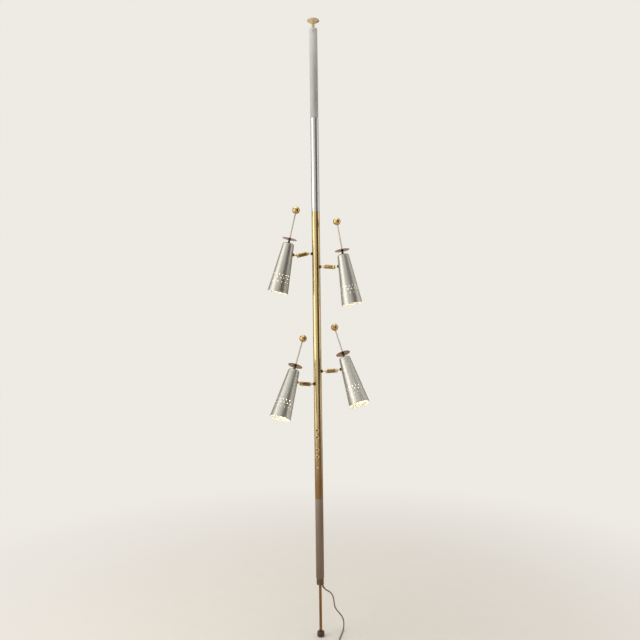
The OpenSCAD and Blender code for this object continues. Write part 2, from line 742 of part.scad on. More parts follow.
// how far a piled coil has spiralled in, in turns, and which layer it is on, after t turns
function spiral_in(t) = let (in_layer = t - coil_layer_turns * floor(t / coil_layer_turns))
    floor(t / coil_layer_turns) % 2 == 0 ? in_layer : coil_layer_turns - in_layer;
function eased(x) = let (c = max(0, min(1, x))) c * c * (3 - 2 * c);
function layer(t, up = 1) = up == coil_layers ? 0
    : eased((t - up * coil_layer_turns) * 2 + 0.5) + layer(t, up + 1);
function coil_point(t) = let (r = coil_r - coil_pitch * spiral_in(t))
    [coil_centre.x + r * cos(-360 * t), coil_centre.y + r * sin(-360 * t), coil_z + coil_pitch * layer(t)];

per_loop = 24;
coil_points = concat([cord_points[len(cord_points) - 1]],
    [for (i = [0 : coil_turns * per_loop]) coil_point(i / per_loop)], coil_tail);
tie_r = coil_r - coil_pitch * coil_layer_turns / 2;

module cord() {
    color("#7a5230") swept(cord_points, same(cord_points, cord_r), 8);
}

module cord_coil() {
    gap = min([for (i = [0 : len(coil_points) - 1], j = [i + per_loop / 2 : len(coil_points) - 1])
        norm(coil_points[i] - coil_points[j])]) - cord_d;
    echo(least_gap_between_turns_mm = gap);
    color("#7a5230") swept(coil_points, same(coil_points, cord_r), 6);
}

module cord_boot() {
    steps = len(boot_points) - 1;
    radii = [for (i = [0 : steps]) cord_r + 1.3 * (1 - 0.8 * i / steps)];
    color("#5e4028") swept(boot_points, radii, 12);
}

module inner_cord() {
    back = 10;
    over = switch_z[3] + 20;
    points = [[cord_hole_x, 0, plug_z], [cord_hole_x, 0, over], [cord_hole_x - 0.8, 2.5, over + 14],
        [cord_hole_x - 3.2, 5.8, over + 30], [3.2, back - 1.4, over + 48], [0.8, back - 0.1, over + 64],
        [0, back, over + 78], [0, back, lamp_z[0] + 8]];
    color("#7a5230") swept(points, same(points, cord_r), 8);
}

// a band round the coil's turns, where they cross the line from the coil's middle to -x
module cord_tie() {
    gap_in = 0.9;
    gap = 0.3;
    half = coil_pitch * (coil_layer_turns - 1) / 2 + cord_r;
    opening = [2 * half + gap + gap_in, coil_z + (coil_layers - 1) * coil_pitch + cord_r + gap - tie_t];
    color("#2b2b2b") translate([coil_centre.x - tie_r, coil_centre.y + tie_w / 2, 0]) rotate([90, 0, 0])
        linear_extrude(tie_w) translate([-half - gap, tie_t]) difference() {
            translate([-tie_t, -tie_t]) square([opening.x + 2 * tie_t, opening.y + 2 * tie_t]);
            square(opening);
        }
}

module plug() {
    start = coil_tail[len(coil_tail) - 1];
    blade = [blade_len, 1.5, 6.3];
    blade_step = 12.7;
    sleeve_r = [cord_r + 0.8, 5.5];
    translate(start) {
        color("#4a3020") {
            rotate([0, -90, 0]) cylinder(r1 = sleeve_r[0], r2 = sleeve_r[1], h = sleeve_len);
            translate([-sleeve_len - plug_len, 0, 0]) intersection() {
                translate([0, -plug_w / 2, -plug_h / 2]) cube([plug_len, plug_w, plug_h]);
                rotate([0, 90, 0]) cylinder(r = plug_w / 2, h = plug_len);
            }
        }
        color("#c9a961") for (y = [-1, 1])
            translate([-sleeve_len - plug_len - blade.x, y * blade_step / 2 - blade.y / 2, -blade.z / 2])
                cube(blade);
    }
}

// ---- what is drawn ----

ceiling_pad();
ceiling_pad_felt();
ceiling_stem();
top_plug();
upper_tube();
middle_tube();
brass_tube();
lower_tube();
tube_joiners();
bottom_plug();
set_screws();
foot_rod();
foot_cup();
foot_pad();
tension_spring();
spring_seat();
switch_bodies();
cord_clamp();
inner_cord();
cord_boot();
cord();
cord_coil();
cord_tie();
plug();
for (i = [0 : 3]) switch_knob(i);
for (i = [0 : 3]) {
    pole_stud(i);
    arm_barrel(i);
    shade_stud(i);
    shade(i);
    socket(i);
    bulb(i);
    disc(i);
    finial(i);
}
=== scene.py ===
# Tension pole lamp: finished pieces, their materials, light and camera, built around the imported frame.
# Sizes are in millimetres where a name doesn't say otherwise; mm turns them into the scene's metres.
import json
import math

import bpy
from mathutils import Matrix, Vector


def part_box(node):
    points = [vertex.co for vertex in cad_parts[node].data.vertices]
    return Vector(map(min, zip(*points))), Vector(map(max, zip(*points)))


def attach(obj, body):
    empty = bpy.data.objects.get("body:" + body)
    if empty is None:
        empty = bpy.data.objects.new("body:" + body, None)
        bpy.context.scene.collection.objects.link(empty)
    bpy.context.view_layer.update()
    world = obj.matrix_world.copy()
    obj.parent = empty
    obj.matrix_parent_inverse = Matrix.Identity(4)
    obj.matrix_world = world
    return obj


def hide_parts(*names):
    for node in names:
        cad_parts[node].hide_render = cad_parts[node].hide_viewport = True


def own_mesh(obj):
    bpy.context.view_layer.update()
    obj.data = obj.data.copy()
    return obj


mm = 0.001
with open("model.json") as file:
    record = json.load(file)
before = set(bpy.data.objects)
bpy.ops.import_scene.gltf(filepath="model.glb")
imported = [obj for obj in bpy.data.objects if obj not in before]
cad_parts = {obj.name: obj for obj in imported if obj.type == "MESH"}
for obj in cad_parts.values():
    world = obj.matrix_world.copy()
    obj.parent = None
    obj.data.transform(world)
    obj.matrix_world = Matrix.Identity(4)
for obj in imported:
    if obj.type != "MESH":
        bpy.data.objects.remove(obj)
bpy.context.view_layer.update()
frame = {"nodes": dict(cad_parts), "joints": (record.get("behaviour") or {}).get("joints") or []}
joints = {joint["name"]: joint for joint in frame["joints"]}
lampNames = ("upper_left", "upper_right", "lower_left", "lower_right")
bpy.ops.object.select_all(action="DESELECT")
print("frame loaded:", len(frame["nodes"]), "nodes")


# camera, at the photograph's viewpoint

cameraSetup = {
    "height": 1310,
    "distance": 2695,
    "toTheRight": 13,
    "lens": 38.3,
    "roll": 0.73,  # degrees, the picture hangs a little clockwise
    "frame": 640,  # pixels
    "horizon": 305,  # pixels from the top
}


def addCamera(setup):
    place = Vector((setup["toTheRight"], -setup["distance"], setup["height"])) * mm
    bpy.ops.object.camera_add(location=place)
    camera = bpy.context.object
    upright = Matrix.Rotation(math.radians(90), 4, "X")
    rolled = Matrix.Rotation(-math.radians(setup["roll"]), 4, "Z")
    camera.matrix_world = Matrix.Translation(place) @ upright @ rolled
    camera.data.lens = setup["lens"]
    camera.data.shift_y = (setup["horizon"] - setup["frame"] / 2) / setup["frame"]
    bpy.context.scene.camera = camera


addCamera(cameraSetup)
print("camera set")


# shader maths as plain expressions

class Wire:
    # one output of a node; + - and * on wires and numbers add the Math nodes
    def __init__(self, finish, socket):
        self.finish = finish
        self.socket = socket

    def maths(self, operation, first, second):
        return self.finish.node("ShaderNodeMath", {"operation": operation}, {0: first, 1: second})

    def __add__(self, other):
        return self.maths("ADD", self, other)

    def __radd__(self, other):
        return self.maths("ADD", other, self)

    def __sub__(self, other):
        return self.maths("SUBTRACT", self, other)

    def __rsub__(self, other):
        return self.maths("SUBTRACT", other, self)

    def __mul__(self, other):
        return self.maths("MULTIPLY", self, other)

    def __rmul__(self, other):
        return self.maths("MULTIPLY", other, self)


class Finish:
    # a material with one Principled shader, and the one method that adds any other node
    def __init__(self, name, **constants):
        self.material = bpy.data.materials.new(name)
        self.material.use_nodes = True
        self.tree = self.material.node_tree
        self.shader = self.tree.nodes["Principled BSDF"]
        for socket, value in constants.items():
            self.shader.inputs[socket.replace("_", " ")].default_value = value

    def node(self, kind, settings=None, sockets=None, output=0):
        made = self.tree.nodes.new(kind)
        for key, value in (settings or {}).items():
            if key == "stops":
                ramp = made.color_ramp
                while len(ramp.elements) < len(value):
                    ramp.elements.new(1)
                for element, (position, tone) in zip(ramp.elements, value):
                    element.position = position
                    element.color = tone
            else:
                setattr(made, key, value)
        for key, value in (sockets or {}).items():
            if isinstance(value, Wire):
                self.tree.links.new(value.socket, made.inputs[key])
            else:
                made.inputs[key].default_value = value
        return Wire(self, made.outputs[output])

    def feed(self, socket, wire):
        self.tree.links.new(wire.socket, self.shader.inputs[socket])

    def here(self):
        return self.node("ShaderNodeTexCoord", output="Object")

    def own(self):
        # the place on a turned piece, measured from its own axis before it was put on the lamp
        return self.node("ShaderNodeAttribute", {"attribute_name": "own"}, output="Vector")

    def scaled(self, vector, scale):
        return self.node("ShaderNodeMapping", None, {"Vector": vector, "Scale": scale})

    def noise(self, vector, scale, detail=3, roughness=0.5):
        return self.node("ShaderNodeTexNoise", None,
                         {"Vector": vector, "Scale": scale, "Detail": detail, "Roughness": roughness})

    def blend(self, factor, first, second):
        # a mix of two colours, each a wire or written as on a screen
        first, second = (colour(*tone) if isinstance(tone, tuple) else tone for tone in (first, second))
        return self.node("ShaderNodeMix", {"data_type": "RGBA"}, {0: factor, 6: first, 7: second}, output=2)

    def spread(self, value, low, high, toLow, toHigh, kind="LINEAR"):
        # the value's stretch from low to high, moved to the stretch from toLow to toHigh
        return self.node("ShaderNodeMapRange", {"interpolation_type": kind},
                         {0: value, 1: low, 2: high, 3: toLow, 4: toHigh})

    def bumps(self, height, strength, distance):
        # distance in metres
        self.feed("Normal", self.node("ShaderNodeBump", None,
                                      {"Strength": strength, "Distance": distance, "Height": height}))


def colour(red, green, blue):
    # a colour written as on a screen, from 0 to 255, for a socket that takes it linear
    def linear(value):
        value = value / 255
        return value / 12.92 if value <= 0.04045 else ((value + 0.055) / 1.055) ** 2.4
    return (linear(red), linear(green), linear(blue), 1)


metalSetup = {
    "longGrain": (900, 900, 5),  # brushing drawn out along the pole
    "roundGrain": (60, 60, 2600),  # fine rings of a turned or spun piece
    "smudge": 9,
    "speck": 160,
    "tarnishFull": 0.75,  # where the smudges reach this, the tarnish is full
    "tarnishDull": 0.18,
    "pitsFrom": 0.66,
    "pitsFull": 0.8,
    "pitting": 0.15,
    "pitDull": 0.4,
    "grainBump": 0.12,
    "grainDepth": 0.00003,  # metres
    "shadeEdgeWander": 0.12,  # metres by which the painted shade's edge goes up and down
}
enamelSetup = {
    "mottle": 35,
    "orangePeel": 420,
    "rubbedFrom": 0.55,
    "rubbedFull": 0.8,
    "wear": 0.4,
    "rubbedDull": 0.15,
    "peelDull": 0.12,
    "peelBump": 0.2,
    "peelDepth": 0.00008,  # metres
}
vinylSetup = {
    "dust": 70,
    "dustFrom": 0.4,
    "dustFull": 0.75,
    "dusty": 0.6,
    "dustDull": 0.2,
    "roughness": 0.38,
    "grain": 1500,
    "grainBump": 0.25,
    "grainDepth": 0.00005,  # metres
}
feltSetup = {
    "fibres": (700, 700, 1800),
    "fibreBump": 0.7,
    "fibreDepth": 0.0004,  # metres
}


def metal(name, clean, wornAndShaded, roughness, grain="longGrain", wear=0.5, grip=0.08, onAxis=True, metallic=1.0,
          paintedShadeLow=None):
    # clean metal with worn or tarnished areas, grain and small pits; the optional last argument adds painted
    # shade, a darker colour down the pole where less light reaches it
    setup = metalSetup
    finish = Finish(name, Metallic=metallic)
    place = finish.own() if onAxis else finish.here()
    brushing = finish.noise(finish.scaled(place, setup[grain]), 1, 2)
    smudges = finish.noise(finish.here(), setup["smudge"], 5, 0.6)
    specks = finish.noise(finish.here(), setup["speck"], 3, 0.7)
    tarnish = finish.spread(smudges, 0.5 - 0.2 * wear, setup["tarnishFull"], 0, wear)
    pits = finish.spread(specks, setup["pitsFrom"], setup["pitsFull"], 0, setup["pitting"])
    base = finish.blend(tarnish + pits, clean, wornAndShaded)
    # painted shade: below a wandering height the colour turns darker and duller
    if paintedShadeLow:
        height = finish.node("ShaderNodeSeparateXYZ", None, {"Vector": finish.here()}, output="Z")
        edge = height + (smudges - 0.5) * setup["shadeEdgeWander"]
        low = finish.spread(edge, paintedShadeLow["full"], paintedShadeLow["none"], 1, 0)
        base = finish.blend(low, base, paintedShadeLow["colour"])
        roughness = roughness + low * paintedShadeLow["dull"]
    finish.feed("Base Color", base)
    dull = tarnish * setup["tarnishDull"] + pits * setup["pitDull"]
    finish.feed("Roughness", roughness + (brushing - 0.5) * grip + dull)
    finish.bumps(brushing + specks * 0.4, setup["grainBump"], setup["grainDepth"])
    return finish.material


def enamel(name, clean, wornAndShaded, roughness, coat=0.0, metallic=0.0):
    # paint or moulded plastic, with slight mottling and rubbed areas
    setup = enamelSetup
    finish = Finish(name, Metallic=metallic, Coat_Weight=coat, Coat_Roughness=0.2)
    mottle = finish.noise(finish.here(), setup["mottle"], 4, 0.6)
    orangePeel = finish.noise(finish.here(), setup["orangePeel"], 2)
    rubbed = finish.spread(mottle, setup["rubbedFrom"], setup["rubbedFull"], 0, setup["wear"])
    finish.feed("Base Color", finish.blend(rubbed, clean, wornAndShaded))
    dull = (orangePeel - 0.5) * setup["peelDull"] + rubbed * setup["rubbedDull"]
    finish.feed("Roughness", roughness + dull)
    finish.bumps(orangePeel, setup["peelBump"], setup["peelDepth"])
    return finish.material


def sheath(name, clean, wornAndShaded):
    # the cord's vinyl: soft sheen, a little dust and fine drawn lines
    setup = vinylSetup
    finish = Finish(name, Sheen_Weight=0.15, Coat_Weight=0.15, Coat_Roughness=0.3)
    dust = finish.noise(finish.here(), setup["dust"], 4, 0.6)
    grain = finish.noise(finish.here(), setup["grain"], 2)
    dusty = finish.spread(dust, setup["dustFrom"], setup["dustFull"], 0, setup["dusty"])
    finish.feed("Base Color", finish.blend(dusty, clean, wornAndShaded))
    finish.feed("Roughness", setup["roughness"] + dust * setup["dustDull"])
    finish.bumps(grain, setup["grainBump"], setup["grainDepth"])
    return finish.material


def felted(name, clean, wornAndShaded):
    # pressed fibres
    finish = Finish(name, Roughness=0.95, Sheen_Weight=0.4, Sheen_Roughness=0.6)
    fibres = finish.noise(finish.scaled(finish.here(), feltSetup["fibres"]), 1, 5, 0.7)
    finish.feed("Base Color", finish.blend(fibres, clean, wornAndShaded))
    finish.bumps(fibres, feltSetup["fibreBump"], feltSetup["fibreDepth"])
    return finish.material


bulbGlow = {
    "strength": 7.0,
    "neck": {"height": -0.045, "light": (255, 224, 176), "glass": (236, 226, 208)},  # height in metres
    "belly": {"height": -0.075, "light": (255, 243, 222), "glass": (250, 244, 232)},
}


def litGlass(name):
    # frosted bulb, brightest in its belly
    neck, belly = bulbGlow["neck"], bulbGlow["belly"]
    finish = Finish(name, Roughness=0.45, Emission_Strength=bulbGlow["strength"])
    height = finish.node("ShaderNodeSeparateXYZ", None, {"Vector": finish.own()}, output="Z")
    low = finish.spread(height, neck["height"], belly["height"], 0, 1)
    finish.feed("Base Color", finish.blend(low, neck["glass"], belly["glass"]))
    finish.feed("Emission Color", finish.blend(low, neck["light"], belly["light"]))
    return finish.material


finishes = {material.name: material for material in (
    # the polished brass tube carries painted shade, darker towards its foot
    metal("polishedBrass", (208, 188, 140), (176, 148, 98), 0.2, wear=0.35, grip=0.1,
          paintedShadeLow={"none": 0.95, "full": 0.6, "colour": (142, 108, 70), "dull": 0.14}),
    metal("barrelBrass", (150, 122, 76), (104, 78, 44), 0.32, "roundGrain", 0.5),
    metal("ringBrass", (214, 192, 142), (176, 142, 90), 0.24, "roundGrain", 0.3),
    metal("ballBrass", (200, 170, 116), (146, 112, 68), 0.12, "roundGrain", 0.4, 0.05),
    metal("paleRod", (204, 199, 188), (176, 165, 148), 0.32, wear=0.3, metallic=0.75),
    metal("discBrass", (148, 112, 64), (98, 70, 40), 0.32, "roundGrain", 0.6),
    metal("knobBrass", (238, 216, 166), (176, 142, 92), 0.12, "roundGrain", 0.3),
    metal("padGold", (224, 206, 164), (196, 168, 118), 0.34, "roundGrain", 0.35, metallic=0.6),
    metal("rodBrass", (152, 112, 70), (106, 74, 44), 0.3, wear=0.7),
    # the reeded tubes carry painted shade, darker brown towards the floor
    metal("reededAluminium", (192, 193, 190), (168, 167, 160), 0.55, wear=0.5, metallic=0.7,
          paintedShadeLow={"none": 0.9, "full": 0.5, "colour": (140, 123, 106), "dull": 0}),
    metal("satinSilver", (206, 207, 208), (184, 183, 178), 0.3, wear=0.4),
    metal("spunNickel", (190, 190, 184), (166, 161, 148), 0.4, "roundGrain", 0.4),
    metal("plugMetal", (126, 107, 88), (78, 59, 41), 0.4, "roundGrain", 0.7),
    metal("plainSteel", (168, 168, 166), (120, 112, 104), 0.35, onAxis=False),
    metal("springSteel", (150, 150, 152), (104, 100, 96), 0.3, onAxis=False),
    metal("screwSteel", (96, 88, 80), (58, 50, 44), 0.34, onAxis=False),
    enamel("darkBronze", (74, 50, 33), (122, 88, 56), 0.34, 0.3, 0.35),
    enamel("phenolic", (48, 34, 26), (70, 52, 40), 0.3, 0.4),
    enamel("plugPlastic", (70, 46, 32), (98, 70, 50), 0.36, 0.2),
    enamel("bootPlastic", (78, 54, 38), (104, 78, 58), 0.48),
    enamel("blackPlastic", (34, 34, 34), (62, 60, 58), 0.5),
    enamel("switchPlastic", (60, 48, 40), (84, 70, 58), 0.5),
    enamel("whiteEnamel", (250, 247, 240), (242, 236, 222), 0.4, 0.2),
    enamel("paleRubber", (150, 126, 96), (112, 92, 68), 0.75),
    sheath("brownVinyl", (116, 82, 56), (138, 108, 80)),
    felted("padFelt", (92, 76, 58), (128, 110, 88)),
    litGlass("litGlass"),
)}
print("materials made:", len(finishes))


# modelling helpers

sharp = math.radians(30)  # edges that turn by more are rounded, or stay crisp
tip = 0.01  # radius of a turned piece's point, which is merged at the end
merge = 0.03  # points of a turned piece that are closer than this become one
fit = 0.05  # gap between pieces that fit into each other


def toEdit():
    bpy.ops.object.mode_set(mode="EDIT")


def toObject():
    bpy.ops.object.mode_set(mode="OBJECT")


def nothingSelected():
    bpy.ops.object.select_all(action="DESELECT")


def only(piece):
    nothingSelected()
    piece.select_set(True)
    bpy.context.view_layer.objects.active = piece


def painted(piece, finish):
    piece.data.materials.clear()
    piece.data.materials.append(finishes[finish])
    return piece


def named(name):
    # the primitive that was just added and shaped, with its place and size moved into its mesh
    bpy.ops.object.transform_apply(location=True, rotation=True, scale=True)
    piece = bpy.context.object
    piece.name = piece.data.name = name
    return piece


def repainted(piece, finish, chosen):
    # a second finish for the faces that are chosen by their middle, in millimetres, and their normal
    piece.data.materials.append(finishes[finish])
    for face in piece.data.polygons:
        if chosen(face.center / mm, face.normal):
            face.material_index = 1


def modified(piece, kind, **settings):
    only(piece)
    made = piece.modifiers.new(kind.lower(), kind)
    for key, value in settings.items():
        setattr(made, key, value)
    bpy.ops.object.modifier_apply(modifier=made.name)


def softened(piece, edge):
    # rounds the sharp edges and shades the rest smooth
    if edge:
        modified(piece, "BEVEL", width=edge * mm, segments=2, limit_method="ANGLE", angle_limit=sharp)
    only(piece)
    bpy.ops.object.shade_smooth_by_angle(angle=sharp)
    return piece


def lathe(name, outline, sides=96):
    # a ring of vertices is extruded from point to point of the outline, each (radius, height)
    nothingSelected()
    radius, height = max(outline[0][0], tip), outline[0][1]
    bpy.ops.mesh.primitive_circle_add(vertices=sides, radius=radius * mm, location=(0, 0, height * mm))
    toEdit()
    for nextRadius, nextHeight in outline[1:]:
        nextRadius = max(nextRadius, tip)
        rise = (nextHeight - height) * mm
        bpy.ops.mesh.extrude_region_move(TRANSFORM_OT_translate={"value": (0, 0, rise)})
        size = nextRadius / radius
        bpy.ops.transform.resize(value=(size, size, 1), center_override=(0, 0, nextHeight * mm))
        radius, height = nextRadius, nextHeight
    bpy.ops.mesh.select_all(action="SELECT")
    bpy.ops.mesh.remove_doubles(threshold=merge * mm)
    bpy.ops.mesh.normals_make_consistent(inside=False)
    toObject()
    return named(name)


def arc(centreRadius, centreHeight, radius, start, end, steps):
    # outline points round an arc, angles from the outward direction, upwards positive
    turns = [math.radians(start + (end - start) * step / steps) for step in range(steps + 1)]
    return [(centreRadius + radius * math.cos(turn), centreHeight + radius * math.sin(turn))
            for turn in turns]


def picked(piece, mode, chosen):
    # selects the vertices, edges or faces that are chosen, and leaves the piece in edit mode
    only(piece)
    toEdit()
    bpy.ops.mesh.select_mode(type=mode)
    bpy.ops.mesh.select_all(action="DESELECT")
    toObject()
    for part in {"VERT": piece.data.vertices, "EDGE": piece.data.edges, "FACE": piece.data.polygons}[mode]:
        part.select = chosen(part)
    toEdit()


def pressed(piece, count, steps, depths, radius, reach):
    # presses grooves into the rim: every line of vertices where a groove runs, and its neighbours less deep
    for level, depth in enumerate(depths):
        def chosen(vertex):
            x, y, _ = vertex.co
            line = round(math.atan2(y, x) / 2 / math.pi * count * steps) % steps
            return math.hypot(x, y) > (radius - reach) * mm and min(line, steps - line) == level
        picked(piece, "VERT", chosen)
        size = 1 - depth / radius
        bpy.ops.transform.resize(value=(size, size, 1), center_override=(0, 0, 0))
        toObject()


def copyOf(piece, name):
    made = piece.copy()
    made.data = piece.data.copy()
    made.name = made.data.name = name
    bpy.context.scene.collection.objects.link(made)
    return made


def joined(name, pieces):
    nothingSelected()
    for piece in pieces:
        piece.select_set(True)
    bpy.context.view_layer.objects.active = pieces[0]
    bpy.ops.object.join()
    pieces[0].name = pieces[0].data.name = name
    return pieces[0]


def carved(piece, cutters):
    # cuts all the cutters out of the piece and removes them
    cutter = joined("cutter", cutters)
    modified(piece, "BOOLEAN", object=cutter, operation="DIFFERENCE", solver="EXACT", use_self=False)
    bpy.data.objects.remove(cutter)
    return piece


def peg(radius, depth, place, along, sides=32):
    # a plain cylinder, from its place along a direction
    turn = Vector((0, 0, 1)).rotation_difference(Vector(along)).to_euler()
    middle = Vector(place) + Vector(along).normalized() * depth / 2
    nothingSelected()
    bpy.ops.mesh.primitive_cylinder_add(vertices=sides, radius=radius * mm, depth=depth * mm,
                                        location=middle * mm, rotation=turn)
    return named("peg")


def block(name, low, high):
    # a box between two opposite corners
    low, high = Vector(low) * mm, Vector(high) * mm
    nothingSelected()
    bpy.ops.mesh.primitive_cube_add(size=1, location=(low + high) / 2)
    bpy.context.object.scale = high - low
    return named(name)


def placed(piece, matrix=None):
    # keeps the piece's own coordinates for its finish, then puts its mesh where it belongs
    own = piece.data.attributes.get("own") or piece.data.attributes.new("own", "FLOAT_VECTOR", "POINT")
    for vertex, value in zip(piece.data.vertices, own.data):
        value.vector = vertex.co
    if matrix is not None:
        piece.data.transform(matrix)
    return piece


def fitted(piece, body, slot, *nodes):
    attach(piece, body)
    if nodes:
        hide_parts(*nodes)
    return piece


def turned(name, outline, finish, edge, sides=96):
    return painted(softened(lathe(name, outline, sides), edge), finish)


def turnedPiece(name, outline, finish, body, slot, node, edge, sides=96):
    return fitted(placed(turned(name, outline, finish, edge, sides)), body, slot, node)


def facing(origin, forward):
    # a frame whose z axis points forward from the origin
    turn = Vector((0, 0, 1)).rotation_difference(forward)
    return Matrix.Translation(origin) @ turn.to_matrix().to_4x4()


# the pole's tubes

pole = {
    "radius": 16,
    "bore": 14.5,
    "reeds": 32,
    "reedDepth": 0.6,
    "chamfer": 0.3,
    "sides": 192,
    "studHole": 4.05,
    "switchHole": 4.55,
    "clampHole": 2.05,
    "holeZone": 9,  # extra rings this far above and below each hole
}


def tubeOutline(bottom, top, rings=()):
    bore, radius, cut = pole["bore"], pole["radius"], pole["chamfer"]
    outside = [(radius - cut, bottom), (radius, bottom + cut)]
    outside += [(radius, height) for height in sorted(rings)]
    outside += [(radius, top - cut), (radius - cut, top)]
    return [(bore, bottom)] + outside + [(bore, top), (bore, bottom)]


def nodeHeights(node):
    low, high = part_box(node)
    return low.z / mm, high.z / mm


clampHeight = sum(nodeHeights("cord_clamp")) / 2


def addReededTube(node):
    steps = 6
    piece = lathe(node + "_reeded", tubeOutline(*nodeHeights(node)), pole["reeds"] * steps)
    depths = [pole["reedDepth"] * (1 - math.sin(math.pi * level / steps)) for level in (0, 1, 2)]
    pressed(piece, pole["reeds"], steps, depths, pole["radius"], pole["chamfer"] + 0.05)
    bpy.ops.object.shade_smooth_by_angle(angle=math.radians(50))
    painted(piece, "reededAluminium")
    return fitted(placed(piece), "pole", "reeded_aluminium", node)


def addTubes():
    addReededTube("upper_tube")
    addReededTube("lower_tube")
    turnedPiece("middle_tube_satin", tubeOutline(*nodeHeights("middle_tube")), "satinSilver", "pole",
                "satin_silver", "middle_tube", 0, pole["sides"])
    holes = []
    for radius, names in (("studHole", [name + "_stud_turn" for name in lampNames]),
                          ("switchHole", ["switch_%d_turn" % number for number in range(1, 5)])):
        for name in names:
            holes.append((joints[name]["pos_m"][2] / mm, joints[name]["axis"], pole[radius]))
    holes.append((clampHeight, joints["switch_1_turn"]["axis"], pole["clampHole"]))
    rings = [height + way * pole["holeZone"] for height, _, _ in holes for way in (-1, 1)]
    piece = lathe("brass_tube_polished", tubeOutline(*nodeHeights("brass_tube"), rings), pole["sides"])
    carved(piece, [peg(radius, 10, Vector((0, 0, height)) + Vector(axis) * 10, axis)
                   for height, axis, radius in holes])
    modified(piece, "WEIGHTED_NORMAL", keep_sharp=True)
    softened(piece, 0)
    painted(piece, "polishedBrass")
    fitted(placed(piece), "pole", "polished_brass", "brass_tube")
    print("tubes done")


addTubes()


# foot, plugs, ceiling end

foot = {
    "padRadius": 14,
    "cupRadius": 14.5,
    "rodRadius": 5.5,
    "collarRadius": 7,
    "collar": 8,
    "groove": 0.5,
    "grooveUp": 4,
    "cupRound": 4,
}


def addFoot():
    padTop, cupTop = nodeHeights("foot_pad")[1], nodeHeights("foot_cup")[1]
    bottom, top = nodeHeights("foot_rod")
    pad, cup, rod, collar = foot["padRadius"], foot["cupRadius"], foot["rodRadius"], foot["collarRadius"]
    turnedPiece("foot_pad_rubber", [(0, 0), (pad - 1, 0), (pad, 1), (pad, padTop), (0, padTop)],
                "paleRubber", "foot", "pale_rubber", "foot_pad", 0.3)
    cut, waist, shoulder = foot["groove"], padTop + foot["grooveUp"], foot["cupRound"]
    turnedPiece("foot_cup_enamelled", [
        (0, padTop), (cup, padTop), (cup, waist), (cup - cut, waist + cut), (cup, waist + 2 * cut),
        (cup, cupTop - shoulder)] + arc(cup - shoulder, cupTop - shoulder, shoulder, 15, 90, 5)
        + [(rod + fit, cupTop), (rod + fit, bottom), (0, bottom)],
        "darkBronze", "foot", "dark_bronze", "foot_cup", 0.25)
    under = top - foot["collar"]
    turnedPiece("foot_rod_brass", [
        (0, bottom), (rod - 1, bottom), (rod, bottom + 1), (rod, under), (collar, under), (collar, top - 1),
        (collar - 1, top), (0, top)], "rodBrass", "foot", "aged_brass_rod", "foot_rod", 0.2, 64)


plugs = {
    "radius": 14.45,
    "stemHole": 6.3,
    "grooveUp": 3.5,
    "groove": 0.5,
    "cordHoleRadius": 2.55,
    "cordHoleX": 10,
    "screwHoleRadius": 2.05,
    "lowScrewUp": 14,
    "topScrewDown": 12,
}
front = Vector((0, -1, 0))


def addPlugs():
    # the bottom plug guides the foot rod and lets the cord out, the top one guides the stem
    radius, screwHole = plugs["radius"], plugs["screwHoleRadius"]
    bottom, top = nodeHeights("bottom_plug")
    inner, ring, cut = foot["rodRadius"] + fit, bottom + plugs["grooveUp"], plugs["groove"]
    piece = lathe("bottom_plug_turned", [
        (inner, bottom), (radius, bottom), (radius, ring), (radius - cut, ring + cut),
        (radius, ring + 2 * cut), (radius, top), (inner, top), (inner, bottom)], 128)
    carved(piece, [
        peg(plugs["cordHoleRadius"], top - bottom + 20, (plugs["cordHoleX"], 0, bottom - 10), (0, 0, 1)),
        peg(screwHole, 16, (0, -2, bottom + plugs["lowScrewUp"]), front)])
    fitted(placed(painted(softened(piece, 0.2), "plugMetal")), "pole", "aged_plug", "bottom_plug")
    bottom, top = nodeHeights("top_plug")
    inner = plugs["stemHole"]
    piece = lathe("top_plug_turned", [
        (inner, bottom), (radius, bottom), (radius, top), (inner, top), (inner, bottom)])
    carved(piece, [peg(screwHole, 16, (0, -4, top - plugs["topScrewDown"]), front)])
    fitted(placed(painted(softened(piece, 0.2), "satinSilver")), "pole", "cast_plug", "top_plug")


screws = {
    "radius": 2,
    "slot": 0.8,
    "slotLength": 12,
    "topEnd": 8.25,
    "headRadius": 3.5,
    "headFace": 18.1,
    "headSeat": 16.1,
    "clampEnd": 8.5,
}


def slottedScrew(name, outline, height, direction, finish):
    # a turned screw with its slot cut across the face, laid along its direction
    slot, face = screws["slot"], outline[-1][1]
    piece = lathe(name, outline, 48)
    half = screws["slotLength"] / 2
    carved(piece, [block("slot", (-half, -slot / 2, face - slot), (half, slot / 2, face + slot))])
    softened(piece, 0.12)
    return placed(painted(piece, finish), facing(Vector((0, 0, height)) * mm, Vector(direction)))


def addScrews():
    radius, head = screws["radius"], screws["headRadius"]
    low = nodeHeights("bottom_plug")[0] + plugs["lowScrewUp"]
    high = nodeHeights("top_plug")[1] - plugs["topScrewDown"]
    made = [
        slottedScrew(name, [(0, end), (radius, end), (radius, face), (0, face)], height, front, "screwSteel")
        for name, end, face, height in (("screwLow", foot["rodRadius"] + fit, plugs["radius"], low),
                                        ("screwHigh", screws["topEnd"], pole["radius"], high))]
    end, seat, face = screws["clampEnd"], screws["headSeat"], screws["headFace"]
    made.append(slottedScrew("screwClamp", [
        (0, end), (radius, end), (radius, seat), (head, seat), (head, face - 0.9), (head - 0.6, face - 0.3),
        (2, face), (0, face)], clampHeight, joints["switch_1_turn"]["axis"], "ringBrass"))
    fitted(joined("set_screws_slotted", made), "pole", "screw_steel", "set_screws")


ceiling = {
    "stemRadius": 6.25,
    "flangeRadius": 13,
    "flange": 3,
    "padRadius": 24.25,
    "hub": 7.75,
    "hubHeight": 1,
    "rim": 2.5,
    "dish": 1.25,  # 1 is a straight cone
    "feltRadius": 23.25,
}


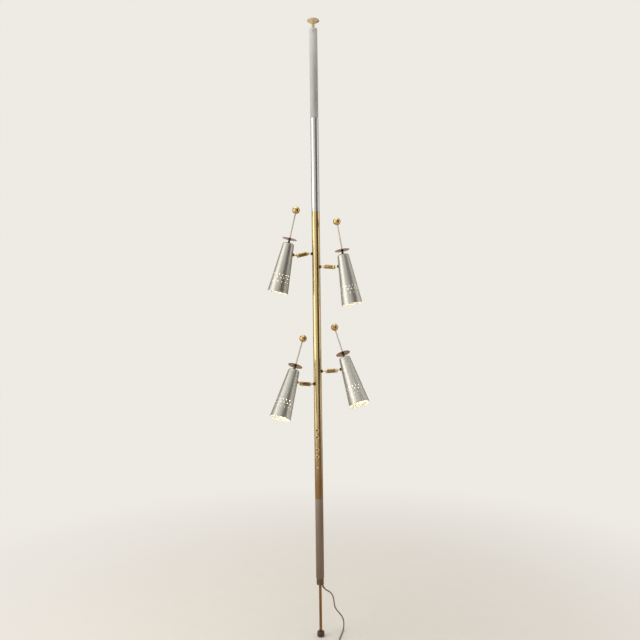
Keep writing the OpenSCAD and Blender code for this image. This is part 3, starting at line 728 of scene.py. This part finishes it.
def addCeilingEnd():
    stem, flange, hub, pad = (ceiling[size] for size in ("stemRadius", "flangeRadius", "hub", "padRadius"))
    bottom, top = nodeHeights("ceiling_stem")
    seat = bottom + ceiling["flange"]
    turnedPiece("ceiling_stem_brass", [
        (0, bottom), (flange, bottom), (flange, seat), (stem, seat), (stem, top - 1), (stem - 1, top),
        (0, top)], "polishedBrass", "ceiling_end", "polished_brass", "ceiling_stem", 0.3, 64)
    low, high = nodeHeights("ceiling_pad")
    start = low + ceiling["hubHeight"]
    rise = high - ceiling["rim"] - start
    saucer = [(hub + (pad - hub) * step / 8, start + rise * (step / 8) ** ceiling["dish"])
              for step in range(9)]
    turnedPiece("ceiling_pad_saucer", [(stem + fit, low), (hub - 0.5, low)] + saucer + [
        (pad, high), (0, high), (0, top + fit), (stem + fit, top + fit), (stem + fit, low)],
        "padGold", "ceiling_end", "gold_lacquer", "ceiling_pad", 0.25, 128)
    low, high = nodeHeights("ceiling_pad_felt")
    felt = ceiling["feltRadius"]
    turnedPiece("ceiling_pad_felt_disc", [
        (0, low), (felt - 0.2, low), (felt, low + 0.6), (felt, high - 0.5), (felt - 0.5, high), (0, high)],
        "padFelt", "ceiling_end", "felt", "ceiling_pad_felt", 0.2)


addFoot()
addPlugs()
addScrews()
addCeilingEnd()
print("foot, plugs, screws and ceiling end done")


# the four switches

switch = {
    "knobRadius": 7.5,
    "knobFace": 18.3,
    "knobHeight": 10,
    "grooves": 14,
    "grooveDepth": 0.6,
    "shaftRadius": 2.5,
    "shaftEnd": 7.5,
    "wellEnd": 6.5,
    "bodyRadius": 7,
    "bodyBack": -4.5,
    "bodyFront": 12.5,
    "neckRadius": 4.5,
    "nutRadius": 6.5,
    "nutSeat": 16.1,
    "nutFace": 18,
}


def knobShape():
    # fluted and bright, with painted shade darkening the flutes' zone and the hollow of the face
    steps = 8
    radius, face, depth = switch["knobRadius"], switch["knobFace"], switch["grooveDepth"]
    shaft, end, outer = switch["shaftRadius"], switch["shaftEnd"], face + switch["knobHeight"]
    piece = lathe("knobShape", [
        (0, end), (shaft, end), (shaft, face), (radius - 0.8, face), (radius, face + 0.8),
        (radius, face + 4), (radius, outer - 2.2)] + arc(radius - 1.8, outer - 1.9, 1.8, 10, 75, 4)
        + [(4.9, outer), (4.5, outer - 0.5), (0, outer - 0.5)], switch["grooves"] * steps)
    pressed(piece, switch["grooves"], steps, (depth, depth / 2), radius, 0.9)
    painted(softened(piece, 0), "knobBrass")

    # painted shade: the grooves and the face's hollow take a darker brass, where shade falls in them
    def wornAndShaded(place, _):
        across = math.hypot(place.x, place.y)
        side = across < radius - 0.25 and face + 1 < place.z < outer - 2.5
        return side or across < 4.8 and place.z > outer - 1
    repainted(piece, "discBrass", wornAndShaded)
    return piece


def switchBodyShape():
    body, neck, well = switch["bodyRadius"], switch["neckRadius"], switch["shaftRadius"] + fit
    back, step, seat, face = switch["bodyBack"], switch["bodyFront"], switch["nutSeat"], switch["nutFace"]
    piece = turned("switchBodyShape", [
        (0, back), (body, back), (body, step), (neck, step), (neck, face), (well, face),
        (well, switch["wellEnd"]), (0, switch["wellEnd"])], "switchPlastic", 0.3, 64)
    nut = peg(switch["nutRadius"], face - seat, (0, 0, seat), (0, 0, 1), 6)
    carved(nut, [peg(neck + 0.02, 8, (0, 0, seat - 3), (0, 0, 1), 64)])
    painted(softened(nut, 0.25), "knobBrass")
    return joined("switchBodyShape", [piece, nut])


def addSwitches():
    knob, body = knobShape(), switchBodyShape()
    bodies = []
    for number in range(1, 5):
        joint = joints["switch_%d_turn" % number]
        matrix = facing(Vector(joint["pos_m"]), Vector(joint["axis"]))
        turnedKnob = placed(copyOf(knob, "switch_knob_%d_fluted" % number), matrix)
        fitted(turnedKnob, "switch_%d" % number, "knob_brass", "switch_knob_%d" % number)
        bodies.append(placed(copyOf(body, "switchBody%d" % number), matrix))
    fitted(joined("switch_bodies_turned", bodies), "pole", "switch_plastic", "switch_bodies")
    for shape in (knob, body):
        bpy.data.objects.remove(shape)
    print("switches done")


addSwitches()


# lamps

swivel = {
    "ball": 5.5,
    "neck": 2.5,
    "wireHole": 1.2,
    "collar": 6,
    "collarHeight": 6,
    "shank": 4,
    "neckLength": 10.5,
    "poleSeat": 16.1,
    "poleFlange": 13,
    "shadeSeat": 0.1,
    "shadeFlange": -1.73,
    "flange": 2,
}
barrel = {
    "length": 46,
    "radius": 7.75,
    "wall": 2.1,
    "ringRadius": 8.25,
    "ring": 7,
    "seat": 5.55,
    "lip": 57,
    "mouth": 6.2,
    "groove": 0.35,
    "grooveIn": 3,
    "coreHole": 2,
    "coreGap": 2.5,  # from the core to each ball's middle
}
shade = {
    "length": 198,
    "mouth": 40.5,
    "narrow": 22,
    "edge": 7,
    "wall": 0.8,
    "studDown": 41,
    "studHole": 4.05,
    "threadHole": 2.05,
    "pinhole": 1.5,
    "pinholes": 16,
    "rows": (130, 142, 158),
    "rings": (60, 100, 122, 150, 166, 182),  # extra rings of the wall, this far below its top
}
top = {
    "discRadius": 29,
    "disc": 1.5,
    "discUp": 16,
    "neck": 5,
    "rod": 2.75,
    "neckWaist": 1,
    "thread": 2,
    "threadEnd": -10.8,
    "ball": 14.75,
    "ballSeat": 6.75,
    "ballUp": 134,
}
socket = {
    "radius": 14.5,
    "wall": 1.2,
    "end": -49.8,
    "floor": -12.8,
    "bossRadius": 8,
    "ribs": 6,
    "ribFrom": -16,
    "ribStep": 5,
    "ribDepth": 0.5,
}
bulb = {
    "capTop": -13.1,
    "capRadius": 13,
    "capHeight": 26,
    "threads": 5,
    "threadStep": 3.6,
    "threadDepth": 0.7,
    "glassRadius": 24,
    "length": 88,
}
slope = (shade["mouth"] - shade["narrow"]) / shade["length"]
coneAngle = math.atan(slope)
studRadius = shade["narrow"] + slope * shade["studDown"]
studToBall = swivel["shadeSeat"] + swivel["collarHeight"] + swivel["neckLength"] + swivel["ball"]


def studShape(name, seat, flange):
    # flange inside the wall, dark collar outside it, then the bright neck and ball
    collar, neck, ball, hole = swivel["collar"], swivel["neck"], swivel["ball"], swivel["wireHole"]
    back, face, shank = flange - swivel["flange"], seat + swivel["collarHeight"], swivel["shank"]
    neckTurn, holeTurn = (math.degrees(math.asin(size / ball)) for size in (neck, hole))
    sphere = arc(0, face + swivel["neckLength"] + ball, ball, neckTurn - 90, 90 - holeTurn, 14)
    piece = turned(name, [
        (hole, back), (collar, back), (collar, flange), (shank, flange), (shank, seat), (collar, seat),
        (collar, seat + 3.6), (collar - 0.4, seat + 4), (collar - 0.4, seat + 4.4),
        (collar - 0.8, seat + 4.8), (collar - 1.6, face), (neck, face)] + sphere + [(hole, back)],
        "darkBronze", 0.2, 64)
    repainted(piece, "ringBrass", lambda place, _: place.z > face - 0.1)
    return piece


def barrelShape():
    half, radius, ringRadius = barrel["length"] / 2, barrel["radius"], barrel["ringRadius"]
    bore, cut, seat = radius - barrel["wall"], barrel["groove"], barrel["seat"]
    start = half - barrel["ring"]
    end = start - fit
    groove = end - barrel["grooveIn"]
    body = turned("barrelBody", [
        (bore, -end), (radius, -end), (radius, -groove), (radius - cut, cut - groove),
        (radius, 2 * cut - groove), (radius, groove - 2 * cut), (radius - cut, groove - cut),
        (radius, groove), (radius, end), (bore, end), (bore, -end)], "barrelBrass", 0.2)
    ballAt = half - swivel["ball"]
    ring = turned("barrelRing", [
        (seat, start), (ringRadius - 0.6, start), (ringRadius, start + 0.6), (ringRadius, start + 2.2),
        (ringRadius - cut, start + 2.5), (ringRadius - cut, start + 3.1), (ringRadius, start + 3.4),
        (ringRadius, half - 1), (ringRadius - 1, half), (barrel["mouth"], half)]
        + arc(0, ballAt, seat, 90 - barrel["lip"], 0, 6) + [(seat, start)], "ringBrass", 0.15)
    other = copyOf(ring, "barrelRingOther")
    other.data.transform(Matrix.Rotation(math.pi, 4, "X"))
    core, coreHole, coreRadius = ballAt - barrel["coreGap"], barrel["coreHole"], bore - fit
    inner = turned("barrelCore", [
        (coreHole, -core - 1), (coreRadius, -core), (coreRadius, core), (coreHole, core + 1),
        (coreHole, -core - 1)], "plainSteel", 0, 48)
    return joined("barrelShape", [body, ring, other, inner])


def shellOutline(inset):
    # the narrow end's rounded edge and the long wall, from the top down
    narrowEnd = shade["narrow"] - inset / math.cos(coneAngle)
    edgeRadius = shade["edge"] - inset
    middle = narrowEnd + slope * shade["edge"] - edgeRadius / math.cos(coneAngle)
    return arc(middle, -shade["edge"], edgeRadius, 90, math.degrees(coneAngle), 8) + [
        (narrowEnd + slope * down, -down) for down in (*shade["rings"], shade["length"])]


def shadeShape():
    # spun outside, white inside, with the stud's hole on its +x side
    hole, wall = shade["threadHole"], shade["wall"]
    piece = lathe("shadeShape", [(hole, -wall), (hole, 0)] + shellOutline(0) + shellOutline(wall)[::-1]
                  + [(hole, -wall)], 192)
    inner = (studRadius - 6, 0, -shade["studDown"] - 6 * slope)
    cutters = [peg(shade["studHole"], 12, inner, (1, 0, slope), 48)]
    for row, down in enumerate(shade["rows"]):
        start = shade["narrow"] + slope * down - 4
        for step in range(shade["pinholes"]):
            turn = 2 * math.pi * (step + row % 2 / 2) / shade["pinholes"]
            outward = Vector((math.cos(turn), math.sin(turn), 0))
            cutters.append(peg(shade["pinhole"], 8, outward * start - Vector((0, 0, down)), outward, 20))
    carved(piece, cutters)
    painted(piece, "spunNickel")

    def inside(place, normal):
        middle = shade["narrow"] - wall / 2 - slope * place.z
        inward = normal.x * place.x + normal.y * place.y < 0 or normal.z < -0.9
        return inward and math.hypot(place.x, place.y) < middle and place.z > 0.1 - shade["length"]
    repainted(piece, "whiteEnamel", inside)
    softened(piece, 0)
    modified(piece, "WEIGHTED_NORMAL", keep_sharp=True)
    return piece


def discShape():
    radius, neck, hole, up = top["discRadius"], top["neck"], shade["threadHole"], top["discUp"]
    face, waist = up + top["disc"], neck - top["neckWaist"]
    stem = turned("discNeck", [
        (hole, 0), (neck + 1, 0), (neck + 1, 1), (neck, 2), (neck - 0.8, 5), (waist, up / 2),
        (neck - 0.8, up - 5), (neck, up - 2), (neck + 1, up - 1), (neck + 1, up), (hole, up), (hole, 0)],
        "darkBronze", 0.2, 48)
    plate = turned("discPlate", [
        (hole, up), (radius - 2, up), (radius - 0.4, up + 0.1), (radius, (up + face) / 2),
        (radius - 0.4, face - 0.1), (radius - 2, face), (radius - 2.4, face - 0.25), (neck + 3, face - 0.25),
        (neck + 2.6, face), (hole, face), (hole, up)], "discBrass", 0.12, 128)
    return joined("discShape", [stem, plate])


def finialShape():
    rod, thread, ball, up, end = top["rod"], top["thread"], top["ball"], top["ballUp"], top["threadEnd"]
    shoulder, seat = top["discUp"] + top["disc"], up - top["ballSeat"]
    stem = turned("finialRod", [
        (0, end), (thread, end), (thread, shoulder), (rod, shoulder), (rod, seat), (0, seat)],
        "paleRod", 0.15, 48)
    start = -math.degrees(math.acos((rod + fit) / ball))
    knob = turned("finialBall", [(0, seat + fit), (rod + fit, seat + fit)]
                  + arc(0, up, ball, start, 90, 36), "ballBrass", 0)
    return joined("finialShape", [stem, knob])


def socketShape():
    # a holder that hangs from the top of the shade, ribbed for the fingers
    radius, boss, hole, cut = socket["radius"], socket["bossRadius"], shade["threadHole"], socket["ribDepth"]
    inner, end, floor, start = radius - socket["wall"], socket["end"], socket["floor"], -shade["wall"]
    ribs = []
    for rib in range(socket["ribs"]):
        low = socket["ribFrom"] - socket["ribStep"] * rib
        ribs += [(radius, low), (radius - cut, low - 0.6), (radius - cut, low - 1.6), (radius, low - 2.2)]
    return turned("socketShape", [
        (hole, start), (boss, start), (boss, start - 6), (radius - 2, start - 8), (radius, start - 10)]
        + ribs + [(radius, end), (inner, end), (inner, floor), (hole, floor), (hole, start)],
        "phenolic", 0.2, 64)


def bulbShape():
    # a metal cap with a rolled thread, and the frosted glass
    cap, capTop, radius = bulb["capRadius"], bulb["capTop"], bulb["glassRadius"]
    thread = []
    for turn in range(bulb["threads"]):
        low = capTop - 8 - bulb["threadStep"] * turn
        thread += [(cap, low), (cap - bulb["threadDepth"], low - bulb["threadStep"] / 2)]
    bottom = capTop - bulb["capHeight"]
    metalCap = turned("bulbCap", [
        (0, capTop), (5, capTop), (6, capTop - 1.5), (cap - 1, capTop - 5)] + thread + [
        (cap, bottom + 1), (cap, bottom), (0, bottom)], "plainSteel", 0, 48)
    middle = capTop - bulb["length"] + radius
    glass = turned("bulbGlass", [
        (0, bottom), (cap - 0.5, bottom), (cap - 0.5, bottom - 7), (cap - 0.1, bottom - 12),
        (cap + 1.2, bottom - 16.5)] + arc(0, middle, radius, 50, -90, 22), "litGlass", 0, 64)
    return joined("bulbShape", [metalCap, glass])


def lampFrames(name):
    # where this lamp's studs, barrel and head lie, from its joints
    ballAtPole = Vector(joints[name + "_arm_tilt"]["pos_m"])
    ballAtShade = Vector(joints[name + "_head_turn"]["pos_m"])
    outward = Vector(joints[name + "_head_turn"]["axis"]).normalized()
    across = Vector(joints[name + "_head_tilt"]["axis"]).normalized()
    tangent = outward.cross(across)
    cos, sin = math.cos(coneAngle), math.sin(coneAngle)
    rows = (outward * cos - tangent * sin, across, outward * sin + tangent * cos)
    turn = Matrix(rows).transposed().to_4x4()
    ball = Vector((studRadius + studToBall * cos, 0, studToBall * sin - shade["studDown"])) * mm
    return {
        "poleStud": facing(Vector((0, 0, ballAtPole.z)), Vector(joints[name + "_stud_turn"]["axis"])),
        "shadeStud": facing(ballAtShade - outward * studToBall * mm, outward),
        "barrel": facing((ballAtPole + ballAtShade) / 2, ballAtShade - ballAtPole),
        "head": Matrix.Translation(ballAtShade) @ turn @ Matrix.Translation(-ball),
    }


def addLamps():
    # each shape with its frame, the node it replaces, its body and its slot
    shapes = (
        (studShape("poleStudShape", swivel["poleSeat"], swivel["poleFlange"]),
         "poleStud", "pole_stud", "stud", "dark_bronze"),
        (barrelShape(), "barrel", "arm_barrel", "arm", "barrel_brass"),
        (studShape("shadeStudShape", swivel["shadeSeat"], swivel["shadeFlange"]),
         "shadeStud", "shade_stud", "knuckle", "dark_bronze"),
        (shadeShape(), "head", "shade", "head", "spun_nickel"),
        (socketShape(), "head", "socket", "head", "socket_plastic"),
        (bulbShape(), "head", "bulb", "head", "lit_glass"),
        (discShape(), "head", "disc", "head", "disc_brass"),
        (finialShape(), "head", "finial", "head", "finial_brass"),
    )
    for name in lampNames:
        frames = lampFrames(name)
        for shape, where, node, body, slot in shapes:
            piece = placed(copyOf(shape, name + "_" + node + "_made"), frames[where])
            fitted(piece, name + "_" + body, slot, name + "_" + node)
    for shape, *_ in shapes:
        bpy.data.objects.remove(shape)
    print("lamps done")


addLamps()


# cord

cordFacts = {
    "diameter": 5,
    "turns": 11.25,
    "layerTurns": 3,
    "layers": 4,
    "pitch": 5.6,
    "coilRadius": 36.9,
    "coilHeight": 3.8,
    "coilCentre": (39, -124),
    "perTurn": 24,
}
cordRadius = cordFacts["diameter"] / 2
bootRoute = [(10, 0, 206), (10, 0, 202), (10.5, 0.5, 197.5), (12.5, 1, 193), (16, 2, 188.5)]
floorRoute = [
    (16, 2, 188.5), (19.5, 3, 184), (26.5, 6.5, 178), (34.5, 11, 171.5), (42, 16.5, 163), (48, 22, 151.5),
    (51.5, 28, 139), (53.5, 34.5, 125), (55, 40.5, 111), (57, 46, 97.5), (61.5, 51, 85), (68.5, 54.5, 73.5),
    (77, 57, 62.5), (85, 59.5, 51), (90.5, 61, 38), (93, 60, 25), (92.5, 53.5, 13), (90, 42.5, 5.5),
    (87, 29.5, 2.5), (84, 16.5, 2.5), (81, 3.5, 2.5), (78, -9.5, 2.5), (75, -22.5, 2.5), (72.5, -35.5, 2.5),
    (71, -48.5, 2.5), (71, -61.5, 2.5), (72.5, -74.5, 2.5), (74.5, -87.5, 2.5), (75.5, -100.5, 3),
    (75.9, -110, 3.8), (75.9, -118, 3.8)]
coilTail = [(28, -157.2, 20.6), (17, -157, 20.3), (7, -157, 18.5), (-3, -157, 15), (-13, -157, 11.3),
            (-22, -157, 9.2), (-28, -157, 9), (-34, -157, 9)]


def eased(value):
    value = max(0, min(1, value))
    return value * value * (3 - 2 * value)


def coilPoint(turn):
    # each layer spirals in or out, and the cord climbs to the next one over half a turn
    layerTurns, (middleX, middleY) = cordFacts["layerTurns"], cordFacts["coilCentre"]
    layer = math.floor(turn / layerTurns)
    inLayer = turn - layerTurns * layer
    spiral = inLayer if layer % 2 == 0 else layerTurns - inLayer
    radius = cordFacts["coilRadius"] - cordFacts["pitch"] * spiral
    climb = sum(eased((turn - up * layerTurns) * 2 + 0.5) for up in range(1, cordFacts["layers"]))
    angle = -2 * math.pi * turn
    return (middleX + radius * math.cos(angle), middleY + radius * math.sin(angle),
            cordFacts["coilHeight"] + cordFacts["pitch"] * climb)


def curveAlong(name, route, radius, radii=None, smooth=True, steps=4, around=4):
    # a curve as thick as a cord, smooth or straight from point to point of the route
    data = bpy.data.curves.new(name, "CURVE")
    data.dimensions = "3D"
    data.bevel_depth = radius * mm
    data.bevel_resolution = around
    data.use_fill_caps = True
    data.resolution_u = steps
    spline = data.splines.new("BEZIER" if smooth else "POLY")
    points = spline.bezier_points if smooth else spline.points
    points.add(len(route) - 1)
    for number, (point, place) in enumerate(zip(points, route)):
        point.co = (*(Vector(place) * mm), 1)[:3 if smooth else 4]
        if smooth:
            point.handle_left_type = point.handle_right_type = "AUTO"
        if radii:
            point.radius = radii[number]
    piece = bpy.data.objects.new(name, data)
    bpy.context.scene.collection.objects.link(piece)
    return piece


def meshFrom(piece):
    only(piece)
    bpy.ops.object.convert(target="MESH")
    bpy.ops.object.shade_smooth()
    return bpy.context.object


def addCord():
    perTurn = cordFacts["perTurn"]
    coil = [coilPoint(step / perTurn) for step in range(round(cordFacts["turns"] * perTurn) + 1)]
    route = bootRoute + floorRoute[1:] + coil + coilTail
    piece = painted(curveAlong("cord_vinyl", route, cordRadius), "brownVinyl")
    fitted(piece, "pole", "brown_cord", "cord", "cord_coil")
    length = sum((Vector(end) - Vector(start)).length for start, end in zip(route, route[1:])) * mm
    print("cord length", round(length, 3))
    return piece, length


plug = {
    "body": (25, 26, 18),
    "rounding": 5,
    "sleeve": 20,
    "sleeveRadii": (3.3, 5.5),
    "rings": 6,
    "blade": (17, 1.5, 6.3),
    "bladeStep": 12.7,
    "bladeHole": 1.6,
    "grips": 3,
    "gripRadius": 1.1,
    "gripIn": 9,
    "gripStep": 3.5,
}


def addPlug():
    # everything is made pointing along -x from the end of the cord
    long, wide, high = plug["body"]
    bladeLong, thick, tall = plug["blade"]
    small, large = plug["sleeveRadii"]
    back, sides = -plug["sleeve"], (-1, 1)
    face = back - long
    body = block("plugBody", (face, -wide / 2, -high / 2), (back, wide / 2, high / 2))
    modified(body, "BEVEL", width=plug["rounding"] * mm, segments=5, limit_method="ANGLE",
             angle_limit=math.radians(40))
    grips = []
    for step in range(plug["grips"]):
        x = back - plug["gripIn"] - plug["gripStep"] * step
        for side in sides:
            grips.append(peg(plug["gripRadius"], 14, (x, side * (wide / 2 + 0.4), -7), (0, 0, 1), 20))
    carved(body, grips)
    painted(softened(body, 0.2), "plugPlastic")
    rings = []
    for step in range(plug["rings"]):
        share = step / plug["rings"]
        radius, height = small + (large - small) * share, plug["sleeve"] * share
        rings += [(radius + 0.35, height + 0.2), (radius + 0.35, height + 1.8), (radius - 0.1, height + 2.2),
                  (radius - 0.1, height + 3)]
    end = plug["sleeve"] + 1
    sleeve = turned("plugSleeve", [(cordRadius, 0)] + rings + [(large, end), (0, end)],
                    "plugPlastic", 0.12, 48)
    sleeve.data.transform(Matrix.Rotation(-math.pi / 2, 4, "Y"))
    pieces = [body, sleeve]
    for side in sides:
        y = side * plug["bladeStep"] / 2
        end = face - bladeLong
        blade = block("plugBlade", (end, y - thick / 2, -tall / 2), (face + 3, y + thick / 2, tall / 2))
        carved(blade, [peg(plug["bladeHole"], 6, (end + 4, y - 3, 0), (0, 1, 0), 24)])
        pieces.append(painted(softened(blade, 0.35), "ringBrass"))
    piece = placed(joined("plug_moulded", pieces), Matrix.Translation(Vector(coilTail[-1]) * mm))
    return fitted(piece, "pole", "plug_plastic", "plug")


tie = {"thickness": 1, "corner": 3}
boot = {"wall": 1.3, "taper": 0.8, "ribDepth": 0.25}


def addTie():
    # a soft band round the coil's turns: a box without its two ends, its long edges rounded
    piece = block("cord_tie_band", *(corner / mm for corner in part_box("cord_tie")))
    picked(piece, "FACE", lambda face: abs(face.normal.y) > 0.9)
    bpy.ops.mesh.delete(type="FACE")
    toObject()

    def long(edge):
        first, last = (piece.data.vertices[number].co for number in edge.vertices)
        return abs(first.y - last.y) > mm
    picked(piece, "EDGE", long)
    bpy.ops.mesh.bevel(offset=tie["corner"] * mm, segments=6)
    bpy.ops.mesh.select_all(action="SELECT")
    bpy.ops.mesh.normals_make_consistent(inside=False)
    toObject()
    modified(piece, "SOLIDIFY", thickness=tie["thickness"] * mm, offset=-1)
    painted(softened(piece, 0.25), "blackPlastic")
    return fitted(placed(piece), "pole", "tie_plastic", "cord_tie")


def addBoot():
    # ribs run round the tapered sleeve at the ferrule
    only(curveAlong("bootLine", bootRoute, 0, steps=12))
    bpy.ops.object.convert(target="MESH")
    route = [vertex.co / mm for vertex in bpy.context.object.data.vertices]
    bpy.data.objects.remove(bpy.context.object)
    radii = []
    for step in range(len(route)):
        share = step / (len(route) - 1)
        rib = boot["ribDepth"] if step % 6 in (3, 4) and 0.15 < share < 0.95 else 0
        radii.append(cordRadius + boot["wall"] * (1 - boot["taper"] * share) - rib)
    piece = meshFrom(curveAlong("cord_boot_ribbed", route, 1, radii, smooth=False, around=6))
    return fitted(placed(painted(piece, "bootPlastic")), "pole", "boot_plastic", "cord_boot")


cord, cordLength = addCord()
plugPiece, tiePiece, bootPiece = addPlug(), addTie(), addBoot()
print("cord done")


# what the pole holds inside

springFacts = {"turns": 12, "wire": 1, "radius": 10, "perTurn": 24}
innerCord = {
    "straight": 688,  # its upper part, from where it leaves the line of the cord's hole
    "crossing": ((10, 0, 0), (9.2, 2.5, 14), (6.8, 5.8, 30), (3.2, 8.6, 48), (0.8, 9.9, 64), (0, 10, 78)),
}


def addInside():
    low, high = nodeHeights("tension_spring")
    wire, perTurn, radius = springFacts["wire"], springFacts["perTurn"], springFacts["radius"]
    steps = springFacts["turns"] * perTurn
    rise = (high - low - 2 * wire) / steps
    turns = [2 * math.pi * step / perTurn for step in range(steps + 1)]
    route = [(radius * math.cos(turn), radius * math.sin(turn), low + wire + rise * step)
             for step, turn in enumerate(turns)]
    piece = meshFrom(curveAlong("tension_spring_wire", route, wire, smooth=False, around=3))
    fitted(placed(painted(piece, "springSteel")), "pole", "spring_steel", "tension_spring")
    travel = max(abs(limit) for limit in joints["stem_slide"]["range_m"]) / mm
    1 - travel / (high - low)
    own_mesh(piece)
    bottom, top = nodeHeights("inner_cord")
    crossing, over = innerCord["crossing"], top - innerCord["straight"]
    route = [(*crossing[0][:2], bottom)] + [(x, y, over + up) for x, y, up in crossing]
    route.append((*crossing[-1][:2], top))
    piece = meshFrom(curveAlong("inner_cord_vinyl", route, cordRadius))
    fitted(placed(painted(piece, "brownVinyl")), "pole", "brown_cord", "inner_cord")
    for node in ("tube_joiners", "spring_seat"):
        painted(frame["nodes"][node], "plainSteel")
    painted(frame["nodes"]["cord_clamp"], "switchPlastic")
    print("inside done")


addInside()


# floor, light and background

studio = {
    "floorRadius": 40,  # metres
    "fadeFrom": 0.25,
    "fadeTo": 2.4,
    "aim": 1.25,
    "background": (238, 234, 228),
    "floor": (240, 236, 229),
    "floorMarks": (205, 199, 190),
    "worldLight": 0.6,
    "key": {"place": (-2.5, -1.0, 1.75), "size": (2.1, 3.0), "watts": 34, "tint": (1.0, 0.98, 0.94)},
    "fill": {"place": (2.6, -0.5, 1.6), "size": (0.7, 2.2), "watts": 5, "tint": (1.0, 0.9, 0.78)},
    "above": {"place": (-0.5, 0.3, 4.1), "size": (2.4, 2.4), "watts": 40, "tint": (1.0, 0.99, 0.97)},
}


def seenDirectly(finish):
    # 1 where the camera, a reflection or a view through glass meets the surface
    camera, glossy, through = [finish.node("ShaderNodeLightPath", output="Is %s Ray" % ray)
                               for ray in ("Camera", "Glossy", "Transmission")]
    return finish.node("ShaderNodeMath", {"operation": "MINIMUM"}, {0: camera + glossy + through, 1: 1.0})


def addFloor():
    nothingSelected()
    bpy.ops.mesh.primitive_circle_add(vertices=96, radius=studio["floorRadius"], fill_type="NGON")
    floor = named("studio_floor")
    finish = Finish("studioFloor", Roughness=0.75)
    grain = finish.noise(finish.here(), 14, 4)
    finish.feed("Base Color", finish.blend(grain * 0.12, studio["floor"], studio["floorMarks"]))
    far = finish.node("ShaderNodeVectorMath", {"operation": "LENGTH"}, {0: finish.here()}, output="Value")
    fade = finish.spread(far, studio["fadeFrom"], studio["fadeTo"], 0, 1, "SMOOTHSTEP")
    glow = finish.node("ShaderNodeEmission", None, {"Color": colour(*studio["background"])})
    lit = Wire(finish, finish.shader.outputs[0])
    mixed = finish.node("ShaderNodeMixShader", None, {0: fade * seenDirectly(finish), 1: lit, 2: glow})
    finish.tree.links.new(mixed.socket, finish.tree.nodes["Material Output"].inputs["Surface"])
    floor.data.materials.append(finish.material)


class WorldFinish(Finish):
    # the same node method, on the world's tree
    def __init__(self, world):
        world.use_nodes = True
        self.tree = world.node_tree
        self.shader = self.tree.nodes["Background"]


def addWorld():
    world = bpy.data.worlds.new("studio")
    bpy.context.scene.world = world
    finish = WorldFinish(world)
    finish.shader.inputs["Color"].default_value = colour(*studio["background"])
    finish.feed("Strength", finish.spread(seenDirectly(finish), 0, 1, studio["worldLight"], 1))


def addLight(name, facts):
    bpy.ops.object.light_add(type="AREA", location=facts["place"])
    light = bpy.context.object
    light.name = name
    aim = Vector((0, 0, studio["aim"])) - Vector(facts["place"])
    light.rotation_euler = aim.to_track_quat("-Z", "Y").to_euler()
    light.data.shape = "RECTANGLE"
    light.data.size, light.data.size_y = facts["size"]
    light.data.energy = facts["watts"]
    light.data.color = facts["tint"]


cards = {
    # seen only in reflections: direction and width in degrees from the camera's side, and tone
    "distance": 2.4,
    "height": 3.4,
    "shaded": 0.86,
    "list": ((44, 60, (88, 80, 66)), (150, 34, (96, 86, 70)), (-128, 30, (170, 160, 142))),
}


def addCards():
    distance, height = cards["distance"], cards["height"]
    for number, (turn, width, tone) in enumerate(cards["list"]):
        finish = Finish("studioCard%d" % number, Roughness=0.9, Specular_IOR_Level=0.0)
        dark = tuple(value * cards["shaded"] for value in tone)
        finish.feed("Base Color", finish.blend(finish.noise(finish.here(), 3), tone, dark))
        nothingSelected()
        bpy.ops.mesh.primitive_plane_add(size=1)
        card = named("studio_card_%d" % number)
        size = 2 * distance * math.tan(math.radians(width) / 2)
        direction = math.radians(turn)
        away = Vector((math.sin(direction), -math.cos(direction), 0))
        card.data.transform(Matrix.Diagonal((size, height, 1, 1)))
        card.data.transform((-away).to_track_quat("Z", "Y").to_matrix().to_4x4())
        card.data.transform(Matrix.Translation(away * distance + Vector((0, 0, height / 2))))
        card.data.materials.append(finish.material)
        for ray in ("camera", "diffuse", "transmission", "shadow", "volume_scatter"):
            setattr(card, "visible_" + ray, False)


addFloor()
addWorld()
addCards()
for name in ("key", "fill", "above"):
    addLight(name, studio[name])
bpy.context.scene.view_settings.view_transform = "Standard"
print("studio done")
